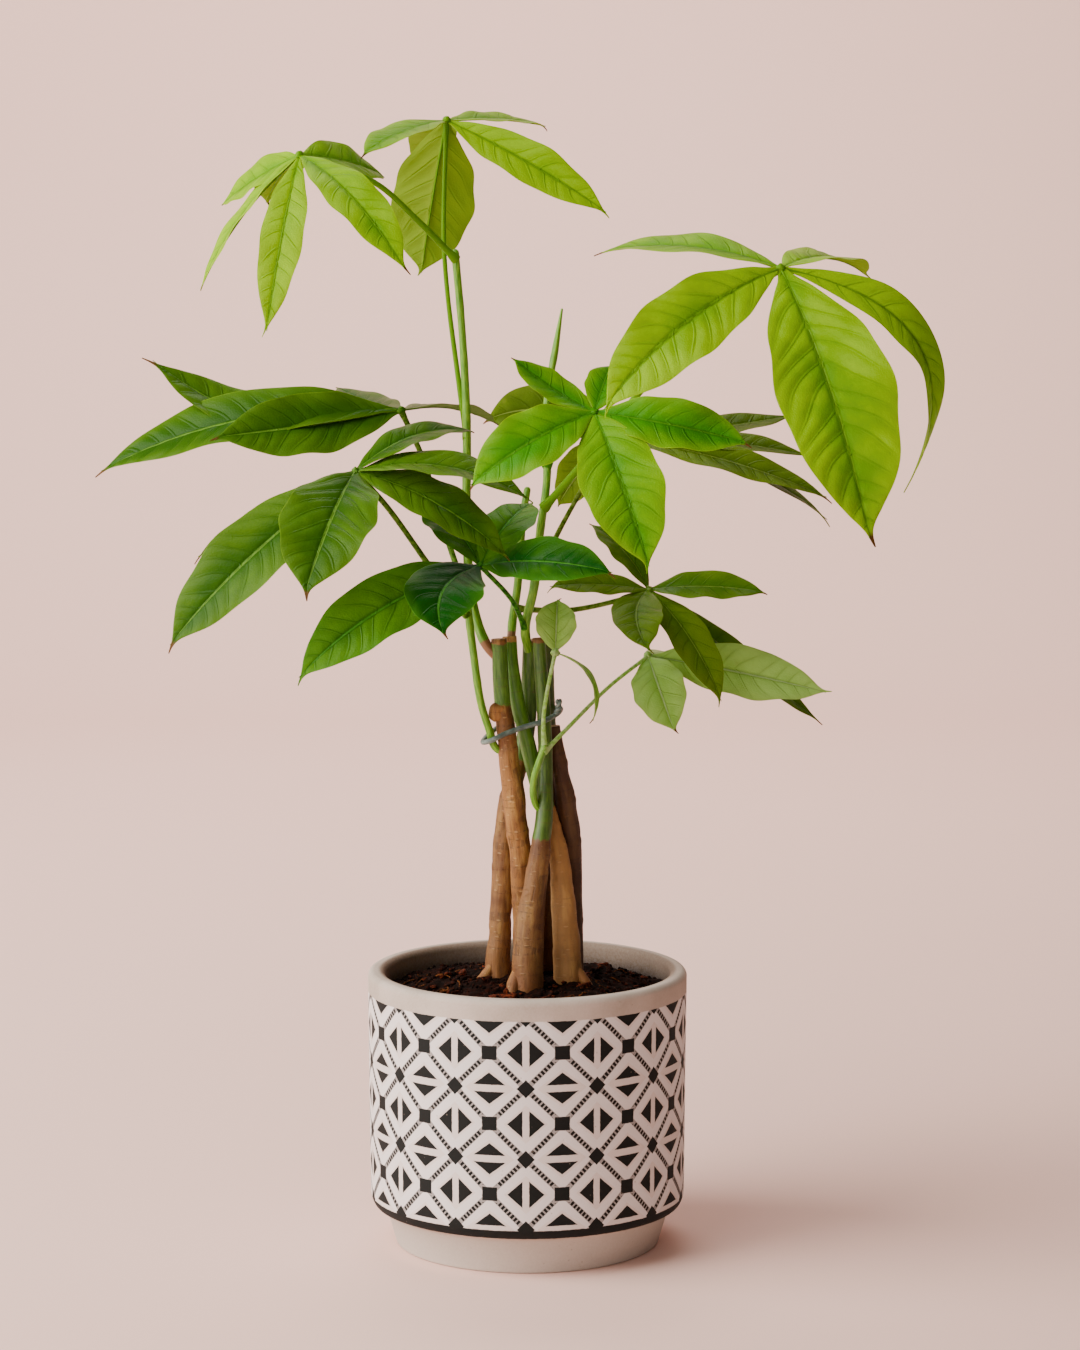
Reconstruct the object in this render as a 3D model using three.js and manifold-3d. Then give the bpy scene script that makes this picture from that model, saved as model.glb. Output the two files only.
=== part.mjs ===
// Potted money tree: six braided canes with green shoots and hand-shaped compound leaves,
// standing in soil in a cement pot. Millimetres, +Z up, origin at the middle of the pot's flat foot.
// The front of the plant faces -Y.

import * as THREE from "three";
import { mergeVertices } from "three/addons/utils/BufferGeometryUtils.js";
import Module from "manifold-3d";

const wasm = await Module();
wasm.setup();

// Pot
const POT_RADIUS = 75;
const POT_HEIGHT = 130;
const POT_WALL = 8;
const POT_FLOOR = 12;
const POT_TAPER = 1;
const POT_INSIDE_TAPER = 3;
const FOOT_HEIGHT = 17;
const FOOT_TOP_RADIUS = 67;
const FOOT_BOTTOM_RADIUS = 62;
const SHOULDER_RADIUS = 71;
const SHOULDER_ROUNDING = 7;
const LEDGE_RISE = 1.5;
const RIM_ROUNDING = 3;
const POT_SIDES = 44;

// Soil
const SOIL_LEVEL = 117;
const SOIL_CROWN = 9;
const SOIL_RINGS = 4;
const SOIL_SIDES = 28;
const SOIL_SIDE_GAP = 0.5;
const SOIL_RIPPLE_START = 20;
const CHIP_COUNT = 12;
const CHIP_SIZE = [8, 3.4, 2.4];
const CHIP_FIELD = 54;

// Clearance kept where one piece is cut round another
const SEAT_GAP = 0.3;

// Canes: points of the centre line from the soil upwards, with the radius at each point
const CANE_SIDES = 10;
const CANE_STEPS = 16;
const CANES = {
  cane_left: {
    line: [
      [-10, 8, 60], [-14, 5, 119], [-12.5, 6, 153], [-11, 7, 188], [-9, 8, 208],
      [-3.8, 8.5, 226], [0, 8, 245], [0.8, 6.2, 265], [1, 4, 284.5],
    ],
    radii: [3.6, 6.3, 5.2, 5.1, 4.8, 4.3, 4, 3.6, 3.2],
  },
  cane_front_left: {
    line: [
      [1, 6, 60], [0.5, 3, 119], [-0.8, 0.5, 145], [-2, -2, 165], [-3.7, -7, 190],
      [-6, -10, 210], [-8.6, -10.5, 232], [-9.8, -10, 244], [-11.8, -9, 260], [-13.1, -8, 286.5],
    ],
    radii: [3.6, 6, 5.8, 5.5, 5.2, 5.2, 4.8, 4.5, 3.8, 3.6],
  },
  cane_front: {
    line: [
      [-4, -16, 60], [0, -20, 119], [0.8, -18.5, 150], [4.8, -15.5, 180],
      [7.8, -12, 203], [8.4, -9, 222], [7.9, -7, 247], [5.3, -3.6, 286.5],
    ],
    radii: [4, 7.9, 7, 5, 4.1, 3.5, 3.3, 3],
  },
  cane_right: {
    line: [
      [16, -12, 60], [19, -8, 119], [17.6, -7, 150], [15, -4, 180], [11.5, -1, 198], [6, 0, 214],
      [2.2, -0.8, 228], [-1, -1.5, 242], [-4.6, -1.2, 256], [-7.4, 0.5, 274], [-8.3, 2, 286.5],
    ],
    radii: [4, 7.2, 6.2, 4.8, 4.3, 4, 3.8, 3.5, 3.5, 3.4, 3.4],
  },
  cane_back_right: {
    line: [
      [19, 16, 60], [21, 12, 119], [20.6, 10.5, 150], [20.6, 8.8, 175],
      [19.9, 6.5, 194], [17.5, 3.5, 212], [13.8, 1, 231], [12.2, 0.5, 244.5],
    ],
    radii: [3.4, 5.8, 5.4, 5.1, 4.9, 4.6, 4.1, 3.3],
  },
  cane_back: {
    line: [
      [8, 18, 60], [9, 14, 119], [9.5, 11, 150], [10, 8.5, 180], [10, 9.5, 205],
      [9.8, 10, 228], [9.5, 8.5, 250], [9, 6.5, 275], [8.7, 5.7, 285.5],
    ],
    radii: [3.4, 5, 4.8, 4.6, 4.3, 4, 3.6, 3.3, 3.1],
  },
};

// Wire tie round the upper part of the braid, with its ends twisted together
const TIE_RADIUS = 1.2;
const TIE_SIDES = 6;
const TIE_STEPS = 30;
const TIE_LOOP = [
  [-20.4, -13.4, 239], [-16.4, -17.4, 240.5], [-11, -16.4, 243], [-2, -13.6, 246],
  [7, -12.2, 248.5], [13.2, -7.4, 251], [15.4, 1, 252], [14.8, 9.2, 252],
  [9.4, 14, 251.5], [0.6, 14.2, 250], [-6.6, 10, 247], [-14.6, 0, 243.5], [-19.2, -8, 240.5],
];
const TIE_TWIST = [[13.2, -7.4, 251], [14.4, -9, 254], [14.6, -10, 258]];
const TIE_TWIST_RADII = [1.6, 1.9, 1.4];
const TIE_TWIST_STEPS = 4;

// Green shoots, each rooted in a cane
const SHOOT_SIDES = 7;
const SHOOT_STEPS = 10;
const SHOOTS = {
  shoot_tall: {
    carrier: "cane_front_left",
    line: [
      [-12.6, -8.4, 276.5], [-19.4, -6.4, 284.5], [-25.5, 0, 303], [-28, 4, 331],
      [-28, 5, 387], [-30, 2, 429], [-33, 0, 464],
    ],
    radii: [2.3, 2.4, 2.2, 2.1, 1.9, 1.7, 1.8],
  },
  shoot_centre: {
    carrier: "cane_left",
    line: [
      [1, 4.9, 277.5], [-1, -4, 291], [3, -8, 310], [6, -8, 337],
      [9, -5, 360], [9, 0, 395], [13, 3, 420], [16, 5, 438],
    ],
    radii: [2.1, 2.2, 2.1, 1.9, 1.8, 1.6, 1.6, 0.5],
  },
  shoot_back: {
    carrier: "cane_right",
    line: [[-7.8, 1.1, 279.5], [-7, 6, 293], [-4.5, 9.5, 310], [-2, 11, 342], [0, 12, 354]],
    radii: [2, 2, 1.9, 1.7, 1.6],
  },
  shoot_left: {
    carrier: "cane_front_left",
    line: [
      [-9.6, -10, 233], [-15, -11.2, 236.5], [-17.4, -13, 244],
      [-21.5, -15, 258], [-25, -14, 282], [-28, -12, 306],
    ],
    radii: [1.7, 1.8, 1.8, 1.8, 1.8, 1.8],
  },
  shoot_bud: {
    carrier: "cane_front",
    line: [[8, -11.5, 205], [4, -13.4, 209.5], [2.6, -15.8, 216], [3.2, -17.2, 223], [8, -19, 238]],
    radii: [1.4, 1.5, 1.6, 1.6, 1.6],
  },
};

// Leaflets: the outline gives the half width, as a share of the widest, at shares of the length
const BLADE_OUTLINE = [
  [0, 0.1], [0.1, 0.35], [0.24, 0.74], [0.42, 0.98], [0.6, 0.95], [0.77, 0.69], [0.9, 0.27], [1, 0.03],
];
const BLADE_THICKNESS = 0.7;
const BLADE_ROOT_THICKNESS = 1.6;
const BLADE_ARCH = 0.09;
const BLADE_FOLD = 0.16;
const BLADE_EDGE_WAVE = 0.035;
const WIDE_BLADE = 33;
const HUB_RADIUS = 2.1;
const PETIOLE_SIDES = 5;
const PETIOLE_STEPS = 7;
const UP = [0, 0, 1];

// Greens of the leaves, from the newest to the oldest
const YOUNG_GREEN = 0x8db31c;
const BRIGHT_GREEN = 0x6f9f14;
const OLIVE_GREEN = 0x4d7d1a;
const DEEP_GREEN = 0x2a6a14;

// Compound leaves. The petiole runs from the axis of its carrier to the hub. A leaflet's reach runs
// from the hub to its tip. Its face is the way its upper side looks, its arch is how far its middle
// stands off the straight line as a share of its length, and bow gives that offset outright. Its
// twist is how many degrees its tip is turned about the midrib.
const LEAVES = {
  leaf_top_left: {
    carrier: "shoot_tall",
    colour: YOUNG_GREEN,
    petiole: [[-32.6, 0, 461], [-50, -12, 479], [-69, -22, 496], [-102, -35, 508]],
    petioleRadius: 1.3,
    leaflets: [
      { reach: [-13, -40, -80], width: 19, face: [0, -1, 0.5] },
      { reach: [50, -50, -52], width: 25, face: [0, -0.6, 1] },
      { reach: [-44, -15, -60], width: 22, arch: 0.06 },
      { reach: [-38, 26, -23], width: 24, face: [0, -0.8, 1], arch: 0.03 },
      { reach: [-20, 62, -22], width: 24, face: [0, -0.2, 1], arch: 0.05 },
      { reach: [37, 50, -10], width: 24, face: [0, -1, 0.9], bow: [2, -2, 2] },
    ],
  },
  leaf_top_back: {
    carrier: "shoot_tall",
    colour: YOUNG_GREEN,
    petiole: [[-28, 5, 378], [-32, 17, 405], [-37, 25, 443], [-39, 31, 470], [-38, 45, 525]],
    petioleRadius: 1.1,
    leaflets: [
      { reach: [48, 45, -2], width: 20, face: [0, -0.3, 1], arch: 0.03 },
      { reach: [77, -15, -44], width: 25, face: [0.3, -1, 0.8], arch: 0.03 },
      { reach: [-12, -5, -73], width: 39, face: [-0.1, 1, 0.1] },
      { reach: [-38, -50, -17], width: 24, face: [0, -0.3, 1], arch: 0.04 },
      { reach: [-14, 52, -22], width: 22, arch: 0.05 },
    ],
  },
  leaf_right: {
    carrier: "shoot_centre",
    colour: YOUNG_GREEN,
    petiole: [[7.5, -7, 347], [22, -12, 364], [48, -30, 398], [82, -50, 436], [113, -55, 458]],
    petioleRadius: 1.5,
    leaflets: [
      { reach: [-82, 35, 6], width: 27, face: [0, -0.25, 1], arch: 0.07 },
      { reach: [44, 60, -5], width: 28, face: [0, -0.35, 1] },
      { reach: [-81, -55, -62], width: 35, face: [0.1, -0.9, 0.6], bow: [-5, -8, 6] },
      { reach: [37, -55, -120], width: 52, face: [0.2, -1, 0.4] },
      { reach: [56, -5, -100], width: 26, face: [0.6, -1, 0.7], bow: [34, 4, 15], twist: -70 },
    ],
  },
  leaf_centre: {
    carrier: "shoot_centre",
    colour: BRIGHT_GREEN,
    petiole: [[9, -3, 366], [17, -22, 380], [25, -50, 390], [30, -75, 395]],
    petioleRadius: 1.3,
    leaflets: [
      { reach: [-37, 15, 24], width: 20, face: [0.3, -0.8, 1], arch: -0.05 },
      { reach: [8, 22, 20], width: 17, face: [0, -0.9, 0.6] },
      { reach: [-56, -20, -32], width: 30, face: [0, -0.9, 0.7] },
      { reach: [24, -40, -67], width: 36, face: [0, -1, 0.5] },
      { reach: [69, -20, -13], width: 27, face: [0, -1, 0.8], arch: 0.03 },
    ],
  },
  leaf_far_left: {
    carrier: "shoot_left",
    colour: DEEP_GREEN,
    petiole: [[-27.8, -12, 304], [-33, 0, 320], [-40, 7, 340], [-48, 6, 368], [-58, -5, 392]],
    petioleRadius: 1.3,
    leaflets: [
      { reach: [-120, 25, 25], width: 33, face: [0, -0.6, 1], bow: [0, 0, -19] },
      { reach: [-86, -25, -11], width: 34, face: [0, -1, 0.8], arch: -0.02 },
      { reach: [-144, 15, -31], width: 34, face: [0, -0.7, 1], arch: 0.09 },
      { reach: [-34, 65, 8], width: 21, face: [0, -0.3, 1], arch: -0.03 },
      { reach: [44, 60, -10], width: 20, arch: 0.06 },
    ],
  },
  leaf_left: {
    carrier: "shoot_left",
    colour: OLIVE_GREEN,
    petiole: [[-27.5, -12.4, 298], [-42, -22, 318], [-63, -40, 350], [-77, -50, 367]],
    petioleRadius: 1.3,
    leaflets: [
      { reach: [-83, -35, -77], width: 35, face: [-0.3, -1, 0.6], bow: [-4, -6, 2] },
      { reach: [-20, -65, -51], width: 42, face: [0, -0.9, 0.6] },
      { reach: [80, -10, -13], width: 26, face: [0, -0.4, 1], arch: 0.12 },
      { reach: [54, 30, 16], width: 22, face: [0, -0.3, 1], arch: 0.12 },
      { reach: [70, -20, -38], width: 30, face: [0, -0.6, 1] },
      { reach: [-76, 32, -43], width: 26, face: [0, -0.2, 1], arch: 0.05 },
    ],
  },
  leaf_low_left: {
    carrier: "shoot_centre",
    colour: DEEP_GREEN,
    petiole: [[-1, -4, 291], [-7, -22, 306], [-21, -45, 324]],
    petioleRadius: 1.1,
    leaflets: [
      { reach: [-83, -25, -50], width: 32, face: [-0.2, -1, 0.7], bow: [-4, -3, 6] },
      { reach: [-15, -55, -26], width: 35, face: [0, -0.9, 0.7], bow: [-9, -3, 4] },
      { reach: [61, -35, 0], width: 26, face: [0, -1, 0.8], arch: 0.08 },
      { reach: [-25, 36, 24], width: 28, face: [0, -0.3, 1] },
      { reach: [24, 35, 26], width: 26, face: [0, -0.3, 1] },
    ],
  },
  leaf_low_right: {
    carrier: "shoot_back",
    colour: OLIVE_GREEN,
    petiole: [[-5.9, 8, 299], [18, 18, 297], [42, 24, 301], [57, 25, 306]],
    petioleRadius: 1.2,
    leaflets: [
      { reach: [-1, -55, -23], width: 24, face: [0, -0.6, 1], bow: [-6, 0, 2] },
      { reach: [-48, -15, 3], width: 18, face: [0, -0.6, 1], arch: 0.04 },
      { reach: [-28, 15, 30], width: 21, face: [0.4, -0.4, 1] },
      { reach: [56, -5, -1], width: 22, face: [0, -0.7, 1], arch: 0.05 },
      { reach: [34, -30, -51], width: 22, face: [0.3, -0.7, 0.8] },
      { reach: [87, 60, -72], width: 19, face: [0.5, -0.8, 0.9], arch: 0 },
    ],
  },
  leaf_lowest_right: {
    carrier: "shoot_bud",
    colour: BRIGHT_GREEN,
    petiole: [[7.6, -19, 235], [17, -14, 244], [38, 8, 262], [57, 30, 274]],
    petioleRadius: 0.9,
    leaflets: [
      { reach: [87, 0, -18], width: 28, face: [0, -1, 0.8], arch: 0.02 },
      { reach: [12, -30, -33], width: 25, face: [-0.2, -1, 0.6] },
      { reach: [22, 50, -8], width: 18, arch: 0.04 },
    ],
  },
  leaf_bud: {
    carrier: "shoot_bud",
    colour: BRIGHT_GREEN,
    petiole: [[8, -19, 236.5], [7.5, -18.6, 250], [9, -18, 262], [13, -15, 281]],
    petioleRadius: 0.9,
    leaflets: [
      { reach: [1, 12, 24], width: 19, face: [0, -1, 0.4] },
      { reach: [17, -10, -32], width: 9, face: [1, -0.2, 0.6], arch: 0.24 },
    ],
  },
  leaf_back_right: {
    carrier: "shoot_centre",
    colour: OLIVE_GREEN,
    petiole: [[3.4, -8, 313], [14, 5, 334], [26, 26, 354], [40, 55, 376]],
    petioleRadius: 1.1,
    leaflets: [
      { reach: [92, 50, 8], width: 25, face: [0, -0.4, 1], arch: -0.02 },
      { reach: [98, 5, -10], width: 24, face: [0, -0.4, 1], arch: 0.03 },
      { reach: [104, -25, -28], width: 24, face: [0, -0.4, 1], arch: 0.04 },
      { reach: [108, 30, -44], width: 24, face: [0, -0.3, 1], arch: 0.08 },
      { reach: [-62, 20, 6], width: 30, face: [0, -1, 0.45], bow: [0, 0, 9] },
      { reach: [-26, 5, -34], width: 22, face: [0, -0.8, 0.6] },
    ],
  },
};

const vector = (values) => new THREE.Vector3(...values);

// Makes a closed solid from a geometry whose faces look outwards
function solidFrom(geometry) {
  const bare = geometry.clone();
  bare.deleteAttribute("normal");
  bare.deleteAttribute("uv");
  const welded = mergeVertices(bare, 1e-4);
  const vertProperties = Float32Array.from(welded.attributes.position.array);
  const triVerts = Uint32Array.from(welded.index.array);
  return new wasm.Manifold(new wasm.Mesh({ numProp: 3, vertProperties, triVerts }));
}

function geometryFrom(positions, triangles) {
  const geometry = new THREE.BufferGeometry();
  geometry.setAttribute("position", new THREE.Float32BufferAttribute(positions, 3));
  geometry.setIndex(triangles);
  return geometry;
}

// Keeps the biggest piece, where a cut leaves a scrap behind
function largestPiece(solid) {
  const pieces = solid.decompose();
  pieces.sort((first, second) => second.volume() - first.volume());
  return pieces[0];
}

// Reads a list of values at a share of its length, from 0 to 1
function valueAt(values, share) {
  const place = share * (values.length - 1);
  const low = Math.min(Math.floor(place), values.length - 2);
  return THREE.MathUtils.lerp(values[low], values[low + 1], place - low);
}

// A round stem along a smooth line. A looped stem closes on itself and has no ends.
function stemSolid({ line, radii, sides, steps, extra = 0, looped = false }) {
  const curve = new THREE.CatmullRomCurve3(line.map(vector), looped);
  const ringCount = looped ? steps : steps + 1;
  const positions = [];
  const normal = new THREE.Vector3(0.3, 1, 0.2);
  for (let ring = 0; ring < ringCount; ring += 1) {
    const share = ring / steps;
    const centre = curve.getPoint(share);
    const tangent = curve.getTangent(share);
    normal.addScaledVector(tangent, -normal.dot(tangent)).normalize();
    const binormal = new THREE.Vector3().crossVectors(tangent, normal);
    const radius = valueAt(radii, share) + extra;
    for (let side = 0; side < sides; side += 1) {
      const angle = (2 * Math.PI * side) / sides;
      const point = centre.clone();
      point.addScaledVector(normal, radius * Math.cos(angle));
      point.addScaledVector(binormal, radius * Math.sin(angle));
      positions.push(point.x, point.y, point.z);
    }
  }
  const triangles = [];
  const bandCount = looped ? ringCount : ringCount - 1;
  for (let ring = 0; ring < bandCount; ring += 1) {
    const here = ring * sides;
    const next = ((ring + 1) % ringCount) * sides;
    for (let side = 0; side < sides; side += 1) {
      const after = (side + 1) % sides;
      triangles.push(here + side, here + after, next + after);
      triangles.push(here + side, next + after, next + side);
    }
  }
  if (!looped) {
    const last = (ringCount - 1) * sides;
    for (let side = 1; side < sides - 1; side += 1) {
      triangles.push(0, side + 1, side);
      triangles.push(last, last + side, last + side + 1);
    }
  }
  return solidFrom(geometryFrom(positions, triangles));
}

// The line of a leaflet's midrib, and the way its upper side looks along it
function midribOf(hub, leaflet) {
  const reach = vector(leaflet.reach);
  const face = vector(leaflet.face ?? UP).normalize();
  const chord = reach.clone().normalize();
  const rise = face.clone().addScaledVector(chord, -face.dot(chord)).normalize();
  const arch = (leaflet.arch ?? BLADE_ARCH) * reach.length();
  const bow = leaflet.bow ? vector(leaflet.bow) : rise.clone().multiplyScalar(arch);
  const twist = THREE.MathUtils.degToRad(leaflet.twist ?? 0);
  return (share) => {
    const swell = 4 * share * (1 - share);
    const point = hub.clone().addScaledVector(reach, share).addScaledVector(bow, swell);
    const tangent = reach.clone().addScaledVector(bow, 4 - 8 * share).normalize();
    const normal = rise.clone().addScaledVector(tangent, -rise.dot(tangent)).normalize();
    normal.applyAxisAngle(tangent, twist * share ** 2);
    const side = new THREE.Vector3().crossVectors(tangent, normal);
    return { point, normal, side };
  };
}

// One leaflet: a thin arched blade, folded along its midrib, split alike on both faces
function bladeSolid(hub, leaflet) {
  const midrib = midribOf(hub, leaflet);
  const across = leaflet.width > WIDE_BLADE ? [-1, -0.5, 0, 0.5, 1] : [-1, 0, 1];
  const count = across.length;
  const positions = [];
  BLADE_OUTLINE.forEach(([share, fraction], station) => {
    const { point, normal, side } = midrib(share);
    const halfWidth = (fraction * leaflet.width) / 2;
    const thickness = station === 0 ? BLADE_ROOT_THICKNESS : BLADE_THICKNESS;
    for (const facing of [1, -1]) {
      for (const place of across) {
        const fold = BLADE_FOLD * Math.sqrt(Math.abs(place));
        const wave = BLADE_EDGE_WAVE * Math.abs(place) * (station % 2 === 0 ? 1 : -1);
        const corner = point.clone();
        corner.addScaledVector(side, place * halfWidth);
        corner.addScaledVector(normal, (fold + wave) * halfWidth + (facing * thickness) / 2);
        positions.push(corner.x, corner.y, corner.z);
      }
    }
  });
  const stations = BLADE_OUTLINE.length;
  const upper = (station, column) => station * 2 * count + column;
  const lower = (station, column) => upper(station, column) + count;
  const triangles = [];
  for (let station = 0; station < stations - 1; station += 1) {
    const next = station + 1;
    for (let column = 0; column < count - 1; column += 1) {
      const beside = column + 1;
      triangles.push(upper(station, column), upper(station, beside), upper(next, beside));
      triangles.push(upper(station, column), upper(next, beside), upper(next, column));
      triangles.push(lower(station, column), lower(next, beside), lower(station, beside));
      triangles.push(lower(station, column), lower(next, column), lower(next, beside));
    }
    const edge = count - 1;
    triangles.push(lower(station, 0), upper(station, 0), upper(next, 0));
    triangles.push(lower(station, 0), upper(next, 0), lower(next, 0));
    triangles.push(lower(station, edge), upper(next, edge), upper(station, edge));
    triangles.push(lower(station, edge), lower(next, edge), upper(next, edge));
  }
  const tip = stations - 1;
  for (let column = 0; column < count - 1; column += 1) {
    const beside = column + 1;
    triangles.push(upper(0, column), lower(0, column), lower(0, beside));
    triangles.push(upper(0, column), lower(0, beside), upper(0, beside));
    triangles.push(upper(tip, column), lower(tip, beside), lower(tip, column));
    triangles.push(upper(tip, column), upper(tip, beside), lower(tip, beside));
  }
  return solidFrom(geometryFrom(positions, triangles));
}

// A compound leaf: its petiole, the small knob of its hub and the leaflets round it, grown together
function leafSolid(leaf, carrierFat) {
  const hub = vector(leaf.petiole[leaf.petiole.length - 1]);
  const knob = new THREE.IcosahedronGeometry(HUB_RADIUS, 0);
  knob.translate(hub.x, hub.y, hub.z);
  let solid = stemSolid({
    line: leaf.petiole,
    radii: [leaf.petioleRadius * 1.25, leaf.petioleRadius, leaf.petioleRadius],
    sides: PETIOLE_SIDES,
    steps: PETIOLE_STEPS,
  });
  solid = solid.add(solidFrom(knob));
  for (const leaflet of leaf.leaflets) {
    solid = solid.add(bladeSolid(hub, leaflet));
  }
  return largestPiece(solid.subtract(carrierFat));
}

// The pot: one lathed body with a recessed foot, a rounded shoulder and a rounded rim
function potGeometry() {
  const outline = [new THREE.Vector2(0, 0), new THREE.Vector2(FOOT_BOTTOM_RADIUS, 0)];
  outline.push(new THREE.Vector2(FOOT_TOP_RADIUS, FOOT_HEIGHT));
  outline.push(new THREE.Vector2(SHOULDER_RADIUS, FOOT_HEIGHT + LEDGE_RISE));
  const bodyBottom = POT_RADIUS - POT_TAPER;
  const shoulderStep = bodyBottom - SHOULDER_RADIUS;
  for (const angle of [30, 60, 90]) {
    const turn = THREE.MathUtils.degToRad(angle);
    const radius = SHOULDER_RADIUS + shoulderStep * Math.sin(turn);
    const height = FOOT_HEIGHT + LEDGE_RISE + SHOULDER_ROUNDING * (1 - Math.cos(turn));
    outline.push(new THREE.Vector2(radius, height));
  }
  const inside = POT_RADIUS - POT_WALL;
  for (const angle of [0, 30, 60, 90]) {
    const turn = THREE.MathUtils.degToRad(angle);
    const radius = POT_RADIUS - RIM_ROUNDING * (1 - Math.cos(turn));
    outline.push(new THREE.Vector2(radius, POT_HEIGHT - RIM_ROUNDING * (1 - Math.sin(turn))));
  }
  for (const angle of [90, 60, 30, 0]) {
    const turn = THREE.MathUtils.degToRad(angle);
    const radius = inside + RIM_ROUNDING * (1 - Math.cos(turn));
    outline.push(new THREE.Vector2(radius, POT_HEIGHT - RIM_ROUNDING * (1 - Math.sin(turn))));
  }
  outline.push(new THREE.Vector2(insideRadius(POT_FLOOR), POT_FLOOR));
  outline.push(new THREE.Vector2(0, POT_FLOOR));
  const pot = new THREE.LatheGeometry(outline, POT_SIDES);
  pot.rotateX(Math.PI / 2);
  return pot;
}

// The inner wall narrows a little towards the floor
function insideRadius(height) {
  const wallTop = POT_HEIGHT - RIM_ROUNDING;
  const share = (wallTop - height) / (wallTop - POT_FLOOR);
  return POT_RADIUS - POT_WALL - POT_INSIDE_TAPER * share;
}

// Height of the soil's uneven top
function soilHeight(radius, angle) {
  const crown = SOIL_CROWN * (1 - (radius / POT_RADIUS) ** 2);
  const ripple = 0.8 * Math.sin(3 * angle + radius / 9) + 0.6 * Math.sin(5 * angle - radius / 6);
  return SOIL_LEVEL + crown + (ripple * Math.min(radius, SOIL_RIPPLE_START)) / SOIL_RIPPLE_START;
}

// Repeatable draws between 0 and 1
function seededDraws(seed) {
  let state = seed;
  return () => {
    state = (state * 16807) % 2147483647;
    return state / 2147483647;
  };
}

function soilSolid() {
  const positions = [0, 0, soilHeight(0, 0)];
  const topRadius = insideRadius(SOIL_LEVEL) - SOIL_SIDE_GAP;
  const ringStart = (ring) => 1 + (ring - 1) * SOIL_SIDES;
  for (let ring = 1; ring <= SOIL_RINGS; ring += 1) {
    const radius = (topRadius * ring) / SOIL_RINGS;
    for (let side = 0; side < SOIL_SIDES; side += 1) {
      const angle = (2 * Math.PI * side) / SOIL_SIDES;
      positions.push(radius * Math.cos(angle), radius * Math.sin(angle), soilHeight(radius, angle));
    }
  }
  const bottomRadius = insideRadius(POT_FLOOR) - SOIL_SIDE_GAP;
  for (let side = 0; side < SOIL_SIDES; side += 1) {
    const angle = (2 * Math.PI * side) / SOIL_SIDES;
    positions.push(bottomRadius * Math.cos(angle), bottomRadius * Math.sin(angle), POT_FLOOR);
  }
  const bottomCentre = positions.length / 3;
  positions.push(0, 0, POT_FLOOR);
  const triangles = [];
  const bottomRing = ringStart(SOIL_RINGS + 1);
  for (let side = 0; side < SOIL_SIDES; side += 1) {
    const after = (side + 1) % SOIL_SIDES;
    triangles.push(0, ringStart(1) + side, ringStart(1) + after);
    for (let ring = 1; ring <= SOIL_RINGS; ring += 1) {
      const inner = ringStart(ring);
      const outer = ringStart(ring + 1);
      triangles.push(inner + side, outer + side, outer + after);
      triangles.push(inner + side, outer + after, inner + after);
    }
    triangles.push(bottomCentre, bottomRing + after, bottomRing + side);
  }
  return solidFrom(geometryFrom(positions, triangles));
}

// Bark chips lie half sunk in the top of the soil
function withChips(soil) {
  const draw = seededDraws(7);
  let solid = soil;
  for (let index = 0; index < CHIP_COUNT; index += 1) {
    const radius = CHIP_FIELD * Math.sqrt(0.15 + 0.85 * draw());
    const angle = 2 * Math.PI * draw();
    const scale = 0.7 + 0.6 * draw();
    const chip = new THREE.BoxGeometry(CHIP_SIZE[0] * scale, CHIP_SIZE[1] * scale, CHIP_SIZE[2] * scale);
    chip.rotateX((draw() - 0.5) * 0.6);
    chip.rotateY((draw() - 0.5) * 0.5);
    chip.rotateZ(2 * Math.PI * draw());
    chip.translate(radius * Math.cos(angle), radius * Math.sin(angle), soilHeight(radius, angle) + 0.3);
    solid = solid.add(solidFrom(chip));
  }
  return solid;
}

const plant = new THREE.Group();

function addPiece(name, solid, colour, roughness) {
  const { vertProperties, triVerts } = solid.getMesh();
  const geometry = geometryFrom(Array.from(vertProperties), Array.from(triVerts));
  geometry.computeVertexNormals();
  const material = new THREE.MeshStandardMaterial({ color: colour, roughness, metalness: 0 });
  const mesh = new THREE.Mesh(geometry, material);
  mesh.name = name;
  plant.add(mesh);
}

const BARK_BROWN = 0x8a5c3a;
const CEMENT = 0xcdbeb2;
const SOIL_BROWN = 0x2e1c12;
const STEM_GREEN = 0x5f9a20;
const WIRE_GREY = 0x5d6f6c;

addPiece("pot", solidFrom(potGeometry()), CEMENT, 0.85);

// The canes stand in plain holes in the soil
let soil = withChips(soilSolid());
const fatCarriers = {};
for (const [name, cane] of Object.entries(CANES)) {
  const shape = { ...cane, sides: CANE_SIDES, steps: CANE_STEPS };
  fatCarriers[name] = stemSolid({ ...shape, extra: SEAT_GAP });
  soil = soil.subtract(fatCarriers[name]);
  addPiece(name, stemSolid(shape), BARK_BROWN, 0.8);
}
addPiece("soil", largestPiece(soil), SOIL_BROWN, 0.95);

const tieLoop = stemSolid({
  line: TIE_LOOP,
  radii: [TIE_RADIUS, TIE_RADIUS],
  sides: TIE_SIDES,
  steps: TIE_STEPS,
  looped: true,
});
const tieTwist = stemSolid({
  line: TIE_TWIST,
  radii: TIE_TWIST_RADII,
  sides: TIE_SIDES,
  steps: TIE_TWIST_STEPS,
});
addPiece("tie", tieLoop.add(tieTwist), WIRE_GREY, 0.5);

for (const [name, shoot] of Object.entries(SHOOTS)) {
  const shape = { line: shoot.line, radii: shoot.radii, sides: SHOOT_SIDES, steps: SHOOT_STEPS };
  fatCarriers[name] = stemSolid({ ...shape, extra: SEAT_GAP });
  const seated = largestPiece(stemSolid(shape).subtract(fatCarriers[shoot.carrier]));
  addPiece(name, seated, STEM_GREEN, 0.6);
}

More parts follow.
